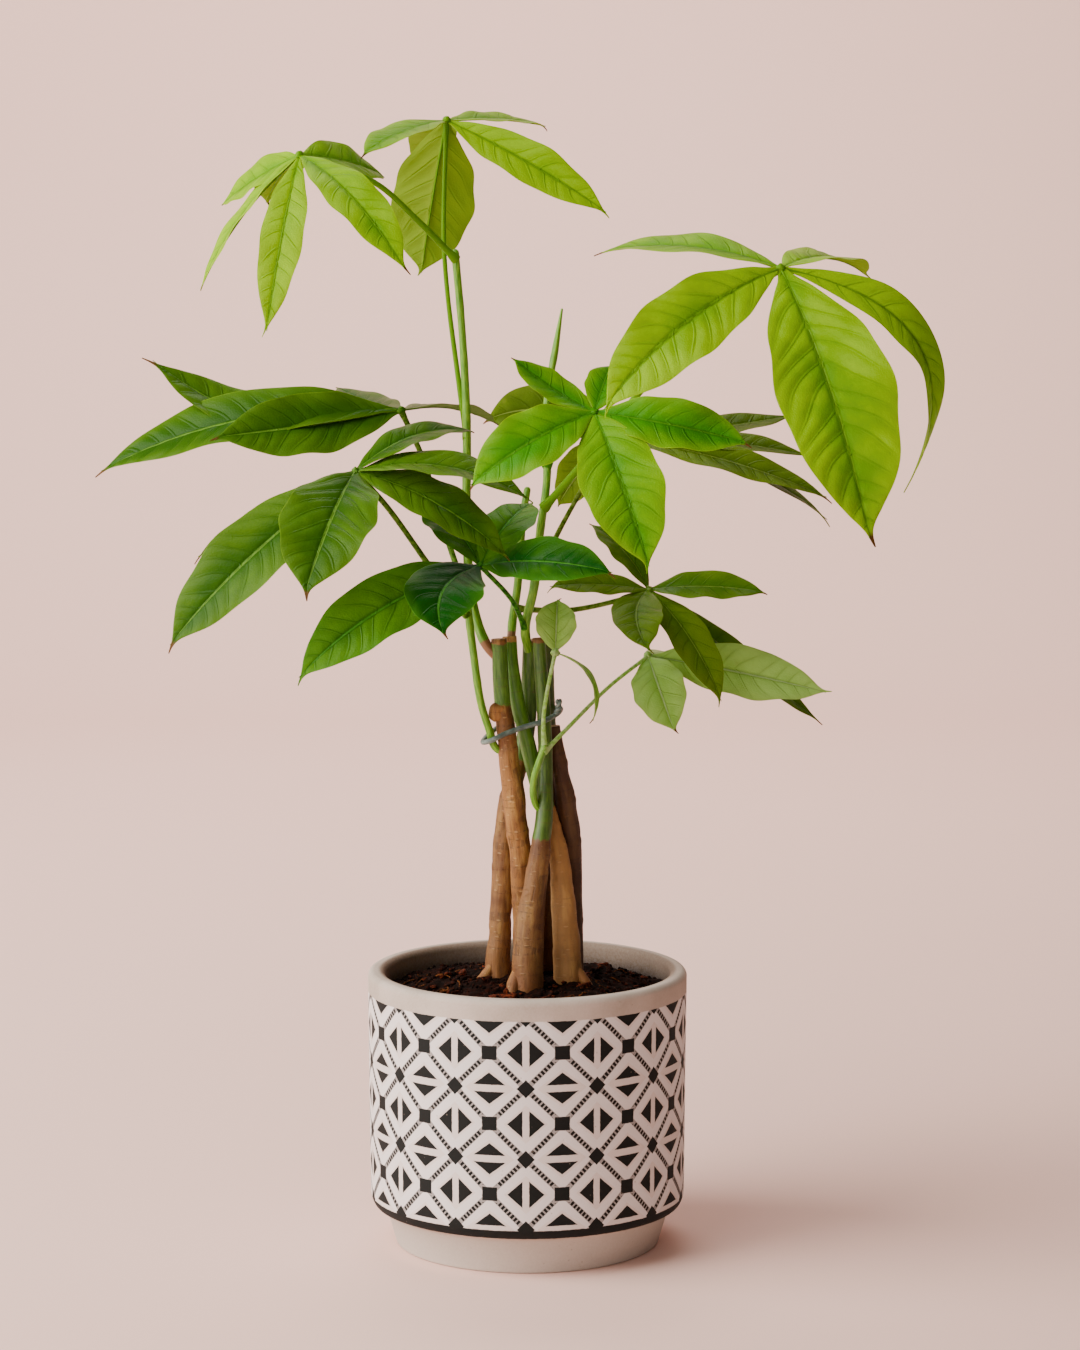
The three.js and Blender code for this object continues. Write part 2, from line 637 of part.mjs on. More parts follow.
for (const [name, leaf] of Object.entries(LEAVES)) {
  addPiece(name, leafSolid(leaf, fatCarriers[leaf.carrier]), leaf.colour, 0.5);
}

export default plant;
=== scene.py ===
import math

import bpy
import numpy as np
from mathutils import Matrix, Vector


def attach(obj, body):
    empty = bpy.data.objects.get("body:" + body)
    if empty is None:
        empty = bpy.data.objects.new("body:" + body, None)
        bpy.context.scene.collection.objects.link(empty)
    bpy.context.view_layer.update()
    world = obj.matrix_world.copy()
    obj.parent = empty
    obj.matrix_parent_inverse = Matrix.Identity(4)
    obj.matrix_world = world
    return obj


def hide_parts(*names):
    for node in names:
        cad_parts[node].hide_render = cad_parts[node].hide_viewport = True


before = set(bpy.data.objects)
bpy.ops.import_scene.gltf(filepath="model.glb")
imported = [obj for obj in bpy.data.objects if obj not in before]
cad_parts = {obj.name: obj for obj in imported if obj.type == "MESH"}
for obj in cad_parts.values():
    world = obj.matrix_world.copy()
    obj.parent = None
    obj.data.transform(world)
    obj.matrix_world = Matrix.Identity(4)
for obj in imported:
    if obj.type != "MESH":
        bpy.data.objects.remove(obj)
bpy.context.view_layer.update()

# Pot
# A cast cement pot with a recessed foot and a rounded rim. Fourteen columns of white diamonds with
# black triangles are printed round its body, over a solid black line, and the rim and foot stay bare.

MM = 0.001
POT_RADIUS = 75
POT_HEIGHT = 130
POT_WALL = 8
POT_FLOOR = 12
POT_BODY_BOTTOM = 74
POT_INSIDE_TAPER = 3
FOOT_HEIGHT = 17
FOOT_TOP_RADIUS = 67
FOOT_BOTTOM_RADIUS = 62
FOOT_EDGE = 1.2
SHOULDER_RADIUS = 71
SHOULDER_ROUNDING = 7
LEDGE_RISE = 1.5
RIM_ROUNDING = 3
EDGE_EASE = 0.35
NECK_IN = 0.4
NECK_OUT = 0.3
LEDGE_IN = 0.6
POT_SEGMENTS = 288
POT_WOBBLE = 0.12
WOBBLE_LENGTH = 30
WOBBLE_START = 20


def inside_radius(height):
    """The inner wall narrows a little towards the floor."""
    wall_top = POT_HEIGHT - RIM_ROUNDING
    share = (wall_top - height) / (wall_top - POT_FLOOR)
    return POT_RADIUS - POT_WALL - POT_INSIDE_TAPER * share


def noise_at(points, size, seed):
    """Smooth repeatable unevenness from -1 to 1, with lumps of about the given size."""
    lattice = np.random.default_rng(seed).uniform(-1, 1, (32, 32, 32))
    place = np.asarray(points, float) / size
    low = np.floor(place).astype(int)
    t = place - low
    t = t * t * (3 - 2 * t)
    total = np.zeros(place.shape[:-1])
    for corner in np.ndindex(2, 2, 2):
        weight = np.ones(place.shape[:-1])
        index = []
        for axis in range(3):
            part = t[..., axis]
            weight = weight * (part if corner[axis] else 1 - part)
            index.append((low[..., axis] + corner[axis]) % 32)
        total += weight * lattice[tuple(index)]
    return total


def grid_faces(rows, columns, closed=False, looped=False):
    """Four-sided faces over a grid of points, closed round its columns and its rows where asked."""
    row = np.arange(rows if looped else rows - 1)[:, None]
    column = np.arange(columns if closed else columns - 1)[None, :]
    below, after = (row + 1) % rows, (column + 1) % columns
    corners = [(row, column), (row, after), (below, after), (below, column)]
    return np.stack([line * columns + place for line, place in corners], axis=-1).reshape(-1, 4)


def closed_faces(rings, sides):
    """Faces of a body made of rings of points, then the middle of its first ring and of its last."""
    faces = grid_faces(rings, sides, closed=True).tolist()
    middle, last = rings * sides, (rings - 1) * sides
    for side in range(sides):
        after = (side + 1) % sides
        faces.append([middle, after, side])
        faces.append([middle + 1, last + side, last + after])
    return faces


def joined(parts):
    """Several bodies as one: each is its points, its faces and a dict of values at the points."""
    points, faces, marks, start = [], [], {}, 0
    for body_points, body_faces, body_marks in parts:
        points.append(body_points)
        faces.extend((np.array(face) + start).tolist() for face in body_faces)
        start += len(body_points)
        for name, values in body_marks.items():
            marks.setdefault(name, []).append(values)
    return np.vstack(points), faces, {name: np.concatenate(found) for name, found in marks.items()}


def make_piece(name, points, faces, marks, material):
    """A smooth Blender mesh from points in millimetres, with its marks as attributes."""
    mesh = bpy.data.meshes.new(name)
    face_lists = faces.tolist() if isinstance(faces, np.ndarray) else faces
    mesh.from_pydata((np.asarray(points) * MM).tolist(), [], face_lists)
    mesh.shade_smooth()
    for label, values in marks.items():
        is_vector = values.ndim == 2
        layer = mesh.attributes.new(label, "FLOAT_VECTOR" if is_vector else "FLOAT", "POINT")
        layer.data.foreach_set("vector" if is_vector else "value", values.astype(np.float32).ravel())
    mesh.materials.append(material)
    mesh.update()
    piece = bpy.data.objects.new(name, mesh)
    bpy.context.scene.collection.objects.link(piece)
    return piece


def paint(code):
    """A colour written as 0xRRGGBB, as the linear colour that a shader takes."""
    channels = [((code >> shift) & 255) / 255 for shift in (16, 8, 0)]
    linear = [c / 12.92 if c <= 0.04045 else ((c + 0.055) / 1.055) ** 2.4 for c in channels]
    return (*linear, 1)


class Shade:
    """A value, colour or place that changes over a surface. Sums with it make their own nodes."""

    def __init__(self, socket):
        self.socket = socket
        self.tree = socket.id_data

    def reckon(self, operation, first, second=0.0):
        return made(self.tree, "ShaderNodeMath", {0: first, 1: second}, operation=operation)

    def __add__(self, other):
        return self.reckon("ADD", self, other)

    def __sub__(self, other):
        return self.reckon("SUBTRACT", self, other)

    def __rsub__(self, other):
        return self.reckon("SUBTRACT", other, self)

    def __mul__(self, other):
        return self.reckon("MULTIPLY", self, other)

    def __truediv__(self, other):
        return self.reckon("DIVIDE", self, other)

    def __abs__(self):
        return self.reckon("ABSOLUTE", self)

    def fraction(self):
        return self.reckon("FRACT", self)


def add_node(tree, kind, inputs, **settings):
    node = tree.nodes.new(kind)
    for name, value in settings.items():
        setattr(node, name, value)
    for name, value in inputs.items():
        if isinstance(value, Shade):
            tree.links.new(value.socket, node.inputs[name])
        else:
            node.inputs[name].default_value = value
    return node


def made(tree, kind, inputs, output=0, **settings):
    """One output of a new node."""
    return Shade(add_node(tree, kind, inputs, **settings).outputs[output])


def least(first, second):
    return first.reckon("MINIMUM", first, second)


def most(first, second):
    return first.reckon("MAXIMUM", first, second)


def fade(value, start, end):
    """0 at start and 1 at end, easing between them."""
    inputs = {"Value": value, "From Min": start, "From Max": end}
    return made(value.tree, "ShaderNodeMapRange", inputs, interpolation_type="SMOOTHSTEP")


def blend(factor, first, second, mode="MIX"):
    """From the first colour at factor 0 to the second at 1."""
    tree = next(part.tree for part in (factor, first, second) if isinstance(part, Shade))
    inputs = {0: factor, 6: first, 7: second}
    return made(tree, "ShaderNodeMix", inputs, 2, data_type="RGBA", blend_type=mode)


def layered(colour, layers):
    """A colour with others laid over it in turn, each through its mask and at its strength."""
    for mask, strength, over in layers:
        colour = blend(mask * strength, colour, over)
    return colour


def noise(place, scale, detail=4.0, roughness=0.55):
    inputs = {"Vector": place, "Scale": scale, "Detail": detail, "Roughness": roughness}
    return made(place.tree, "ShaderNodeTexNoise", inputs)


def object_place(tree):
    return made(tree, "ShaderNodeTexCoord", {}, "Object")


def new_material(name):
    """A material's tree with its Principled shader."""
    material = bpy.data.materials.new(name)
    material.use_nodes = True
    tree = material.node_tree
    return material, tree, tree.nodes["Principled BSDF"]


def cover(shader, colour, roughness, relief, strength, depth):
    """Gives a surface its colour, its roughness and a fine relief of a depth in metres."""
    inputs = {"Strength": strength, "Distance": depth, "Height": relief}
    bump = made(shader.id_data, "ShaderNodeBump", inputs)
    for name, value in (("Base Color", colour), ("Roughness", roughness), ("Normal", bump)):
        shader.id_data.links.new(value.socket, shader.inputs[name])
    return bump


PRINT_COLUMNS = 14
PRINT_TURN_DEG = -0.4
PRINT_RADIUS = 75
PRINT_HALF_WIDTH = math.pi * PRINT_RADIUS / PRINT_COLUMNS
PRINT_HALF_HEIGHT = 16.375
PRINT_ROW = 105.7
PRINT_BOTTOM = 23.2
PRINT_TOP = 120.3
LINE_BOTTOM = 19.0
STRIP_HALF = 1.3
STITCH_COUNT = 12
STITCH_HALF = 1.05
STITCH_SHARE = 0.33
STITCH_END_GAP = 0.9
UPRIGHT_DIAMOND = 8.6
UPRIGHT_STEEPNESS = 1.14
UPRIGHT_BAR = 1.55
FLAT_DIAMOND = 7.3
FLAT_STEEPNESS = 0.76
FLAT_BAR = 1.6
HEART_MARGIN = 1.5
TILTED_SQUARE = 4.2
SQUARE_HALF_WIDTH = 3.55
SQUARE_HALF_HEIGHT = 3.2
PRINT_SOFTNESS = 0.16
PRINT_WANDER = 0.5
OUTER_WALL = (69, 69.5)
INNER_WALL = (70.8, 68.4)
INNER_WALL_RISE = (60.0, 70.0)
# Partly a damp stain and partly painted shade: the inner wall darkens downwards to the soil
DAMP_SHADE_RISE = (142.0, 133.0)
WET_SHADE_RISE = (131.0, 122.0)
# The foot has its own cement tone, set for the light it gets under the ledge: painted light
FOOT_LIGHT_BLEND = (19.0, 16.0)
CEMENT = paint(0xC2B1A4)
CEMENT_DARK = paint(0xA9998B)
FOOT_LIT_CEMENT = paint(0xBCB1A6)
PRINT_WHITE = paint(0xE7DEDC)
PRINT_PINK = paint(0xDECFC8)
PRINT_BLACK = paint(0x0E100F)
STRIP_GREY = paint(0x786E69)
PORE_BROWN = paint(0x8A7C6E)
DAMP_SHADE_BROWN = paint(0x755C48)
WET_SHADE_BROWN = paint(0x2C1C12)
GRAIN_WHITE = paint(0xFFFFFF)


def inside(distance):
    """1 where a distance in millimetres is under zero, with a soft edge."""
    return fade(distance, PRINT_SOFTNESS, -PRINT_SOFTNESS)


def printed_cement():
    """Cement with the white and black diamond print."""
    material, tree, shader = new_material("printed_cement")
    place = object_place(tree)
    x, y, z = (Shade(part) for part in add_node(tree, "ShaderNodeSeparateXYZ", {0: place}).outputs)
    turn = x.reckon("ARCTAN2", x, y * -1.0)
    columns_per_turn = PRINT_COLUMNS / (2 * math.pi)
    column = turn * columns_per_turn + (0.5 - math.radians(PRINT_TURN_DEG) * columns_per_turn)
    height = z / MM
    row = (height - PRINT_ROW) / (2 * PRINT_HALF_HEIGHT) + 4.5
    wander = (noise(place, 420.0, 2.0) - 0.5) * PRINT_WANDER

    # Millimetres from the middle of an upright diamond, and from the middle of a flat one
    across = abs((column + 20.0).fraction() - 0.5) * (2 * PRINT_HALF_WIDTH)
    upward = abs(row.fraction() - 0.5) * (2 * PRINT_HALF_HEIGHT)
    flat_across = PRINT_HALF_WIDTH - across
    flat_upward = PRINT_HALF_HEIGHT - upward

    # The strips where diamonds meet, with their stitches
    side_share = across / PRINT_HALF_WIDTH
    rise_share = upward / PRINT_HALF_HEIGHT
    diamond_side = math.hypot(PRINT_HALF_WIDTH, PRINT_HALF_HEIGHT)
    off_strip = abs(side_share + rise_share - 1.0) * (PRINT_HALF_WIDTH * PRINT_HALF_HEIGHT / diamond_side)
    along = (side_share - rise_share + 1.0) * (STITCH_COUNT / 2)
    stitch = (abs(along.fraction() - 0.5) - STITCH_SHARE) * (diamond_side / STITCH_COUNT)
    stitch = most(stitch, off_strip - STITCH_HALF)
    strip = inside(off_strip - STRIP_HALF)

    # Distances to the edges of the black shapes
    tilted = across + flat_upward - TILTED_SQUARE
    square = most(flat_across - SQUARE_HALF_WIDTH, upward - SQUARE_HALF_HEIGHT)
    upright = across + upward * UPRIGHT_STEEPNESS - UPRIGHT_DIAMOND
    flat = flat_upward + flat_across * FLAT_STEEPNESS - FLAT_DIAMOND
    heart = inside(least(upright, flat) - HEART_MARGIN)
    upright = most(upright, UPRIGHT_BAR - across)
    flat = most(flat, FLAT_BAR - flat_upward)
    squares = least(tilted, square)
    stitch = most(stitch, STITCH_END_GAP - squares)
    shapes = least(least(squares, least(upright, flat)), stitch)
    black = inside(shapes + wander)

    # The printed band, and the line under it
    height_wander = height + wander
    outward = x * x + y * y
    outer_wall = fade(outward, *((radius * MM) ** 2 for radius in OUTER_WALL))
    band = inside(most(height_wander - PRINT_TOP, LINE_BOTTOM - height_wander)) * outer_wall
    line = inside(height_wander - PRINT_BOTTOM)
    ink = most(black, line) * band

    cloud = noise(place, 26.0, 5.0)
    grain = noise(place, 900.0, 3.0, 0.7)
    pores = fade(made(tree, "ShaderNodeTexVoronoi", {"Vector": place, "Scale": 300.0}), 0.16, 0.05)
    pores = pores * fade(noise(place, 90.0, 2.0), 0.52, 0.66)
    blotches = fade(noise(place, 60.0, 6.0, 0.7), 0.62, 0.78)
    cement = blend(fade(cloud, 0.35, 0.7), CEMENT, CEMENT_DARK)
    # Painted light: the foot takes its own cement tone for the light under the ledge
    cement = blend(fade(height, *FOOT_LIGHT_BLEND), cement, FOOT_LIT_CEMENT)
    wear = [(heart, 0.8, PRINT_PINK), (strip, 0.75, STRIP_GREY), (blotches, 0.25, CEMENT)]
    white = layered(PRINT_WHITE, wear)
    # The inner wall below the rim is darkened towards the soil: partly a damp stain, partly painted shade
    damp_shade_height = height + cloud * 8.0
    inner_wall = fade(outward, *((radius * MM) ** 2 for radius in INNER_WALL))
    inner_wall = inner_wall * fade(height, *INNER_WALL_RISE)
    colour = layered(blend(ink, blend(band, cement, white), PRINT_BLACK), [
        (pores, 0.45, PORE_BROWN),
        (inner_wall * fade(damp_shade_height, *DAMP_SHADE_RISE), 0.8, DAMP_SHADE_BROWN),
        (inner_wall * fade(damp_shade_height, *WET_SHADE_RISE), 0.8, WET_SHADE_BROWN),
        (fade(grain, 0.3, 0.7) - ink, 0.06, GRAIN_WHITE),
    ])
    relief = grain * 0.35 + cloud * 0.3 - pores * 0.8 + band * 0.25
    shader.inputs["Specular IOR Level"].default_value = 0.25
    cover(shader, colour, 0.86 - band * 0.2 + grain * 0.08, relief, 0.35, 0.0004)
    return material


def arc(centre_radius, centre_height, size, angles):
    """Points of a rounding, by their angles from the outward direction."""
    turns = np.radians(angles)
    return list(zip(centre_radius + size * np.cos(turns), centre_height + size * np.sin(turns)))


inner_lip = POT_RADIUS - POT_WALL
shoulder_base = FOOT_HEIGHT + LEDGE_RISE
shoulder_step = POT_BODY_BOTTOM - SHOULDER_RADIUS
body_start = shoulder_base + SHOULDER_ROUNDING
outline = [(0.0, 0.0), (FOOT_BOTTOM_RADIUS - FOOT_EDGE, 0.0)]
outline += arc(FOOT_BOTTOM_RADIUS - FOOT_EDGE + EDGE_EASE, FOOT_EDGE, FOOT_EDGE, np.linspace(-60, 0, 4))
outline += [(FOOT_TOP_RADIUS - NECK_IN, FOOT_HEIGHT - FOOT_EDGE),
            (FOOT_TOP_RADIUS + NECK_OUT, FOOT_HEIGHT),
            (SHOULDER_RADIUS - LEDGE_IN, shoulder_base - EDGE_EASE)]
for turn in np.radians(np.linspace(0, 90, 9)):
    outline.append((SHOULDER_RADIUS + shoulder_step * math.sin(turn),
                    shoulder_base + SHOULDER_ROUNDING * (1 - math.cos(turn))))
for height in np.linspace(body_start, POT_HEIGHT - RIM_ROUNDING, 24)[1:-1]:
    share = (height - body_start) / (POT_HEIGHT - RIM_ROUNDING - body_start)
    outline.append((POT_BODY_BOTTOM + (POT_RADIUS - POT_BODY_BOTTOM) * share, height))
outline += arc(POT_RADIUS - RIM_ROUNDING, POT_HEIGHT - RIM_ROUNDING, RIM_ROUNDING, np.linspace(0, 90, 9))
outline += arc(inner_lip + RIM_ROUNDING, POT_HEIGHT - RIM_ROUNDING, RIM_ROUNDING, np.linspace(90, 180, 9))
for height in np.linspace(POT_HEIGHT - RIM_ROUNDING, POT_FLOOR, 14)[1:]:
    outline.append((inside_radius(height), height))
outline.append((0.0, POT_FLOOR))

profile = np.array(outline[1:-1])
angles = np.linspace(0, 2 * math.pi, POT_SEGMENTS, endpoint=False)
rings = np.empty((len(profile), POT_SEGMENTS, 3))
rings[..., 0] = profile[:, :1] * np.cos(angles)
rings[..., 1] = profile[:, :1] * np.sin(angles)
rings[..., 2] = profile[:, 1:]
wobble = POT_WOBBLE * noise_at(rings, WOBBLE_LENGTH, 3) * np.clip(rings[..., 2] / WOBBLE_START, 0, 1)
rings[..., :2] *= (1 + (wobble - POT_WOBBLE) / POT_RADIUS)[..., None]
pot_points = np.vstack([rings.reshape(-1, 3), [(0, 0, 0), (0, 0, POT_FLOOR)]])
pot_faces = closed_faces(len(profile), POT_SEGMENTS)
pot = make_piece("cement_pot", pot_points, pot_faces, {}, printed_cement())
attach(pot, "root")
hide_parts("pot")

# Soil
# Dark potting soil fills the pot from its floor to just under the rim. Its top is uneven and rises
# a little towards the stems.

SOIL_LEVEL = 117
SOIL_CROWN = 9
SOIL_SIDE_GAP = 0.5
# Of each ripple: its height, its count round the pot, and the distance outwards that turns it
SOIL_RIPPLES = [(0.8, 3, 9), (0.6, 5, -6)]
SOIL_RIPPLE_START = 20
# Of each roughness: its height, the size of its lumps, and its seed
SOIL_ROUGHNESS = [(1.0, 7, 21), (0.7, 3, 22), (0.4, 1.4, 23)]
SOIL_MIDDLE = 0.6
SOIL_RINGS = 90
SOIL_SEGMENTS = 260
SOIL_DARK = paint(0x080200)
SOIL_BROWN = paint(0x331208)
SOIL_SHADE = paint(0x0C0502)


def soil_height(radius, angle):
    crown = SOIL_CROWN * (1 - (radius / POT_RADIUS) ** 2)
    ripple = sum(rise * np.sin(count * angle + radius / reach) for rise, count, reach in SOIL_RIPPLES)
    return SOIL_LEVEL + crown + ripple * np.minimum(radius, SOIL_RIPPLE_START) / SOIL_RIPPLE_START


def read_mark(tree, name, output="Fac"):
    """A value that a mesh carries at its points."""
    return made(tree, "ShaderNodeAttribute", {}, output, attribute_name=name)


def earthy(name, dark, light, scale, roughness):
    """Rough soil or bark, from a dark colour to a light one, varied from lump to lump."""
    material, tree, shader = new_material(name)
    place = object_place(tree)
    mottle = noise(place, scale, 6.0, 0.65)
    streak = noise(place, scale * 4, 3.0, 0.7)
    share = read_mark(tree, "tint") + (mottle - 0.5) * 1.2
    colour = blend(fade(share, 0.0, 1.0), dark, light)
    colour = blend(fade(streak, 0.62, 0.35), colour, SOIL_SHADE)
    shader.inputs["Specular IOR Level"].default_value = 0.08
    cover(shader, colour, mottle * 0.2 + (roughness - 0.1), streak, 0.6, 0.0006)
    return material


soil_angles = np.linspace(0, 2 * math.pi, SOIL_SEGMENTS, endpoint=False)[None, :]
soil_radii = np.linspace(SOIL_MIDDLE, inside_radius(SOIL_LEVEL) - SOIL_SIDE_GAP, SOIL_RINGS)[:, None]
soil_top = np.empty((SOIL_RINGS, SOIL_SEGMENTS, 3))
soil_top[..., 0] = soil_radii * np.cos(soil_angles)
soil_top[..., 1] = soil_radii * np.sin(soil_angles)
soil_top[..., 2] = 0
rough = sum(rise * noise_at(soil_top, size, seed) for rise, size, seed in SOIL_ROUGHNESS)
soil_top[..., 2] = soil_height(soil_radii, soil_angles) + rough
bottom_radius = inside_radius(POT_FLOOR) - SOIL_SIDE_GAP
bottom_ring = np.stack([bottom_radius * np.cos(soil_angles[0]), bottom_radius * np.sin(soil_angles[0]),
                        np.full(SOIL_SEGMENTS, POT_FLOOR)], axis=-1)
soil_points = np.vstack([soil_top.reshape(-1, 3), bottom_ring,
                         [(0, 0, soil_top[0, :, 2].mean()), (0, 0, POT_FLOOR)]])
soil_faces = grid_faces(SOIL_RINGS + 1, SOIL_SEGMENTS, closed=True).tolist()
for side in range(SOIL_SEGMENTS):
    after = (side + 1) % SOIL_SEGMENTS
    bottom = SOIL_RINGS * SOIL_SEGMENTS
    soil_faces.append([len(soil_points) - 2, side, after])
    soil_faces.append([len(soil_points) - 1, bottom + after, bottom + side])
soil_tint = 0.35 + 0.3 * noise_at(soil_points, 9, 24)
potting_soil = earthy("potting_soil", SOIL_DARK, SOIL_BROWN, 160.0, 0.95)
soil = make_piece("soil_bed", soil_points, soil_faces, {"tint": soil_tint}, potting_soil)
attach(soil, "root")
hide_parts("soil")

# Bark chips
# Chips of rust-brown bark lie half sunk in the soil: a dozen large ones, and many small ones
# strewn between them.

CHIP_COUNT = 12
CHIP_SIZE = np.array([8, 3.4, 2.4])
CHIP_FIELD = 54
CHIP_LIFT = 0.4
SMALL_CHIPS = 120
SMALL_CHIP_FIELD = 64
SMALL_CHIP_SIZES = [(2.5, 6.5), (1.2, 2.6), (0.8, 1.8)]
SMALL_CHIP_TILT = (-0.5, 0.5)
SMALL_CHIP_LIFT = (0.1, 0.9)
LUMP_RELIEF = 0.28
LUMP_GRAIN = 0.55
CHIP_DARK = paint(0x220C05)
CHIP_RUST = paint(0x6E2E16)


def seeded_draws(seed):
    """Repeatable draws between 0 and 1."""
    state = seed
    while True:
        state = (state * 16807) % 2147483647
        yield state / 2147483647


def lump(size, seed, rows=7, columns=12, boxy=0.6):
    """A closed uneven lump about the origin, from round to boxy."""
    rise = np.linspace(-math.pi / 2, math.pi / 2, rows + 2)[1:-1][:, None]
    turn = np.linspace(0, 2 * math.pi, columns, endpoint=False)[None, :]

    def squared(value):
        return np.sign(value) * np.abs(value) ** boxy

    level = squared(np.cos(rise))
    unit = np.stack(np.broadcast_arrays(level * squared(np.cos(turn)), level * squared(np.sin(turn)),
                                        squared(np.sin(rise))), axis=-1).reshape(-1, 3)
    unit = np.vstack([unit, [(0, 0, -1), (0, 0, 1)]])
    unit = unit * (1 + LUMP_RELIEF * noise_at(unit + seed * 3.7, LUMP_GRAIN, 11))[:, None]
    return unit * size / 2, closed_faces(rows, columns)


def turned(points, tilt_x, tilt_y, turn_z):
    """Points turned about X, then Y, then Z."""
    for angle, (first, second) in ((tilt_x, (1, 2)), (tilt_y, (2, 0)), (turn_z, (0, 1))):
        c, s = math.cos(angle), math.sin(angle)
        a, b = points[:, first].copy(), points[:, second].copy()
        points[:, first], points[:, second] = a * c - b * s, a * s + b * c
    return points


def on_soil(lump_body, tilts, radius, angle, lift, tint):
    """A lump tilted and laid on the soil, with its tint."""
    points, faces = lump_body
    place = [radius * math.cos(angle), radius * math.sin(angle), soil_height(radius, angle) + lift]
    return turned(points, *tilts) + place, faces, {"tint": np.full(len(points), tint)}


draws = seeded_draws(7)
chips = []
for index in range(CHIP_COUNT):
    radius = CHIP_FIELD * math.sqrt(0.15 + 0.85 * next(draws))
    angle = 2 * math.pi * next(draws)
    size = CHIP_SIZE * (0.7 + 0.6 * next(draws))
    tilts = (next(draws) - 0.5) * 0.6, (next(draws) - 0.5) * 0.5, 2 * math.pi * next(draws)
    body = lump(size * 1.1, index, rows=9, columns=16, boxy=0.45)
    chips.append(on_soil(body, tilts, radius, angle, CHIP_LIFT, 0.55 + 0.4 * next(draws)))
scatter = np.random.default_rng(5)
for index in range(SMALL_CHIPS):
    radius = SMALL_CHIP_FIELD * scatter.uniform(0.3, 1)
    angle = scatter.uniform(0, 2 * math.pi)
    body = lump(np.array([scatter.uniform(*span) for span in SMALL_CHIP_SIZES]), index + 40, boxy=0.5)
    tilts = [scatter.uniform(*span) for span in (SMALL_CHIP_TILT, SMALL_CHIP_TILT, (0, 2 * math.pi))]
    lift = scatter.uniform(*SMALL_CHIP_LIFT)
    chips.append(on_soil(body, tilts, radius, angle, lift, scatter.uniform(0.0, 1.0)))
chip_bark = earthy("chip_bark", CHIP_DARK, CHIP_RUST, 240.0, 0.85)
bark_chips = make_piece("bark_chips", *joined(chips), chip_bark)
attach(bark_chips, "root")

# Soil crumbs
# Loose crumbs of the same potting soil cover its whole top. They are lumps from under one
# millimetre to nearly three, a little tilted, turned at random and lying loose on the bed.

CRUMBS = 900
CRUMB_FIELD = 65
CRUMB_SIZE = (0.8, 2.6)
CRUMB_TILT = (0.3, 0.2)
CRUMB_LIFT = (0.0, 0.8)
# A crumb lies at this many times its own turn, so that the two don't go together
CRUMB_STRAY = 3.1

crumbs = []
for index in range(CRUMBS):
    radius = CRUMB_FIELD * math.sqrt(scatter.uniform(0.0, 1))
    angle = scatter.uniform(0, 2 * math.pi)
    size = scatter.uniform(*CRUMB_SIZE)
    size = size * np.array([1.0, scatter.uniform(0.7, 1), scatter.uniform(0.6, 1)])
    body = lump(size, index, rows=4, columns=7, boxy=0.9)
    lift = scatter.uniform(*CRUMB_LIFT)
    tilts = (*CRUMB_TILT, angle)
    crumbs.append(on_soil(body, tilts, radius, angle * CRUMB_STRAY, lift, scatter.uniform(0.0, 0.9)))
soil_crumbs = make_piece("soil_crumbs", *joined(crumbs), potting_soil)
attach(soil_crumbs, "root")

# Canes
# Six young trunks are braided together: brown bark with rings and lengthwise cracks below, and on
# all but one a smooth green skin above. Each is sawn off flat at its top and rooted in the soil.

CANE_SIDES = 44
CANE_STEPS = 190
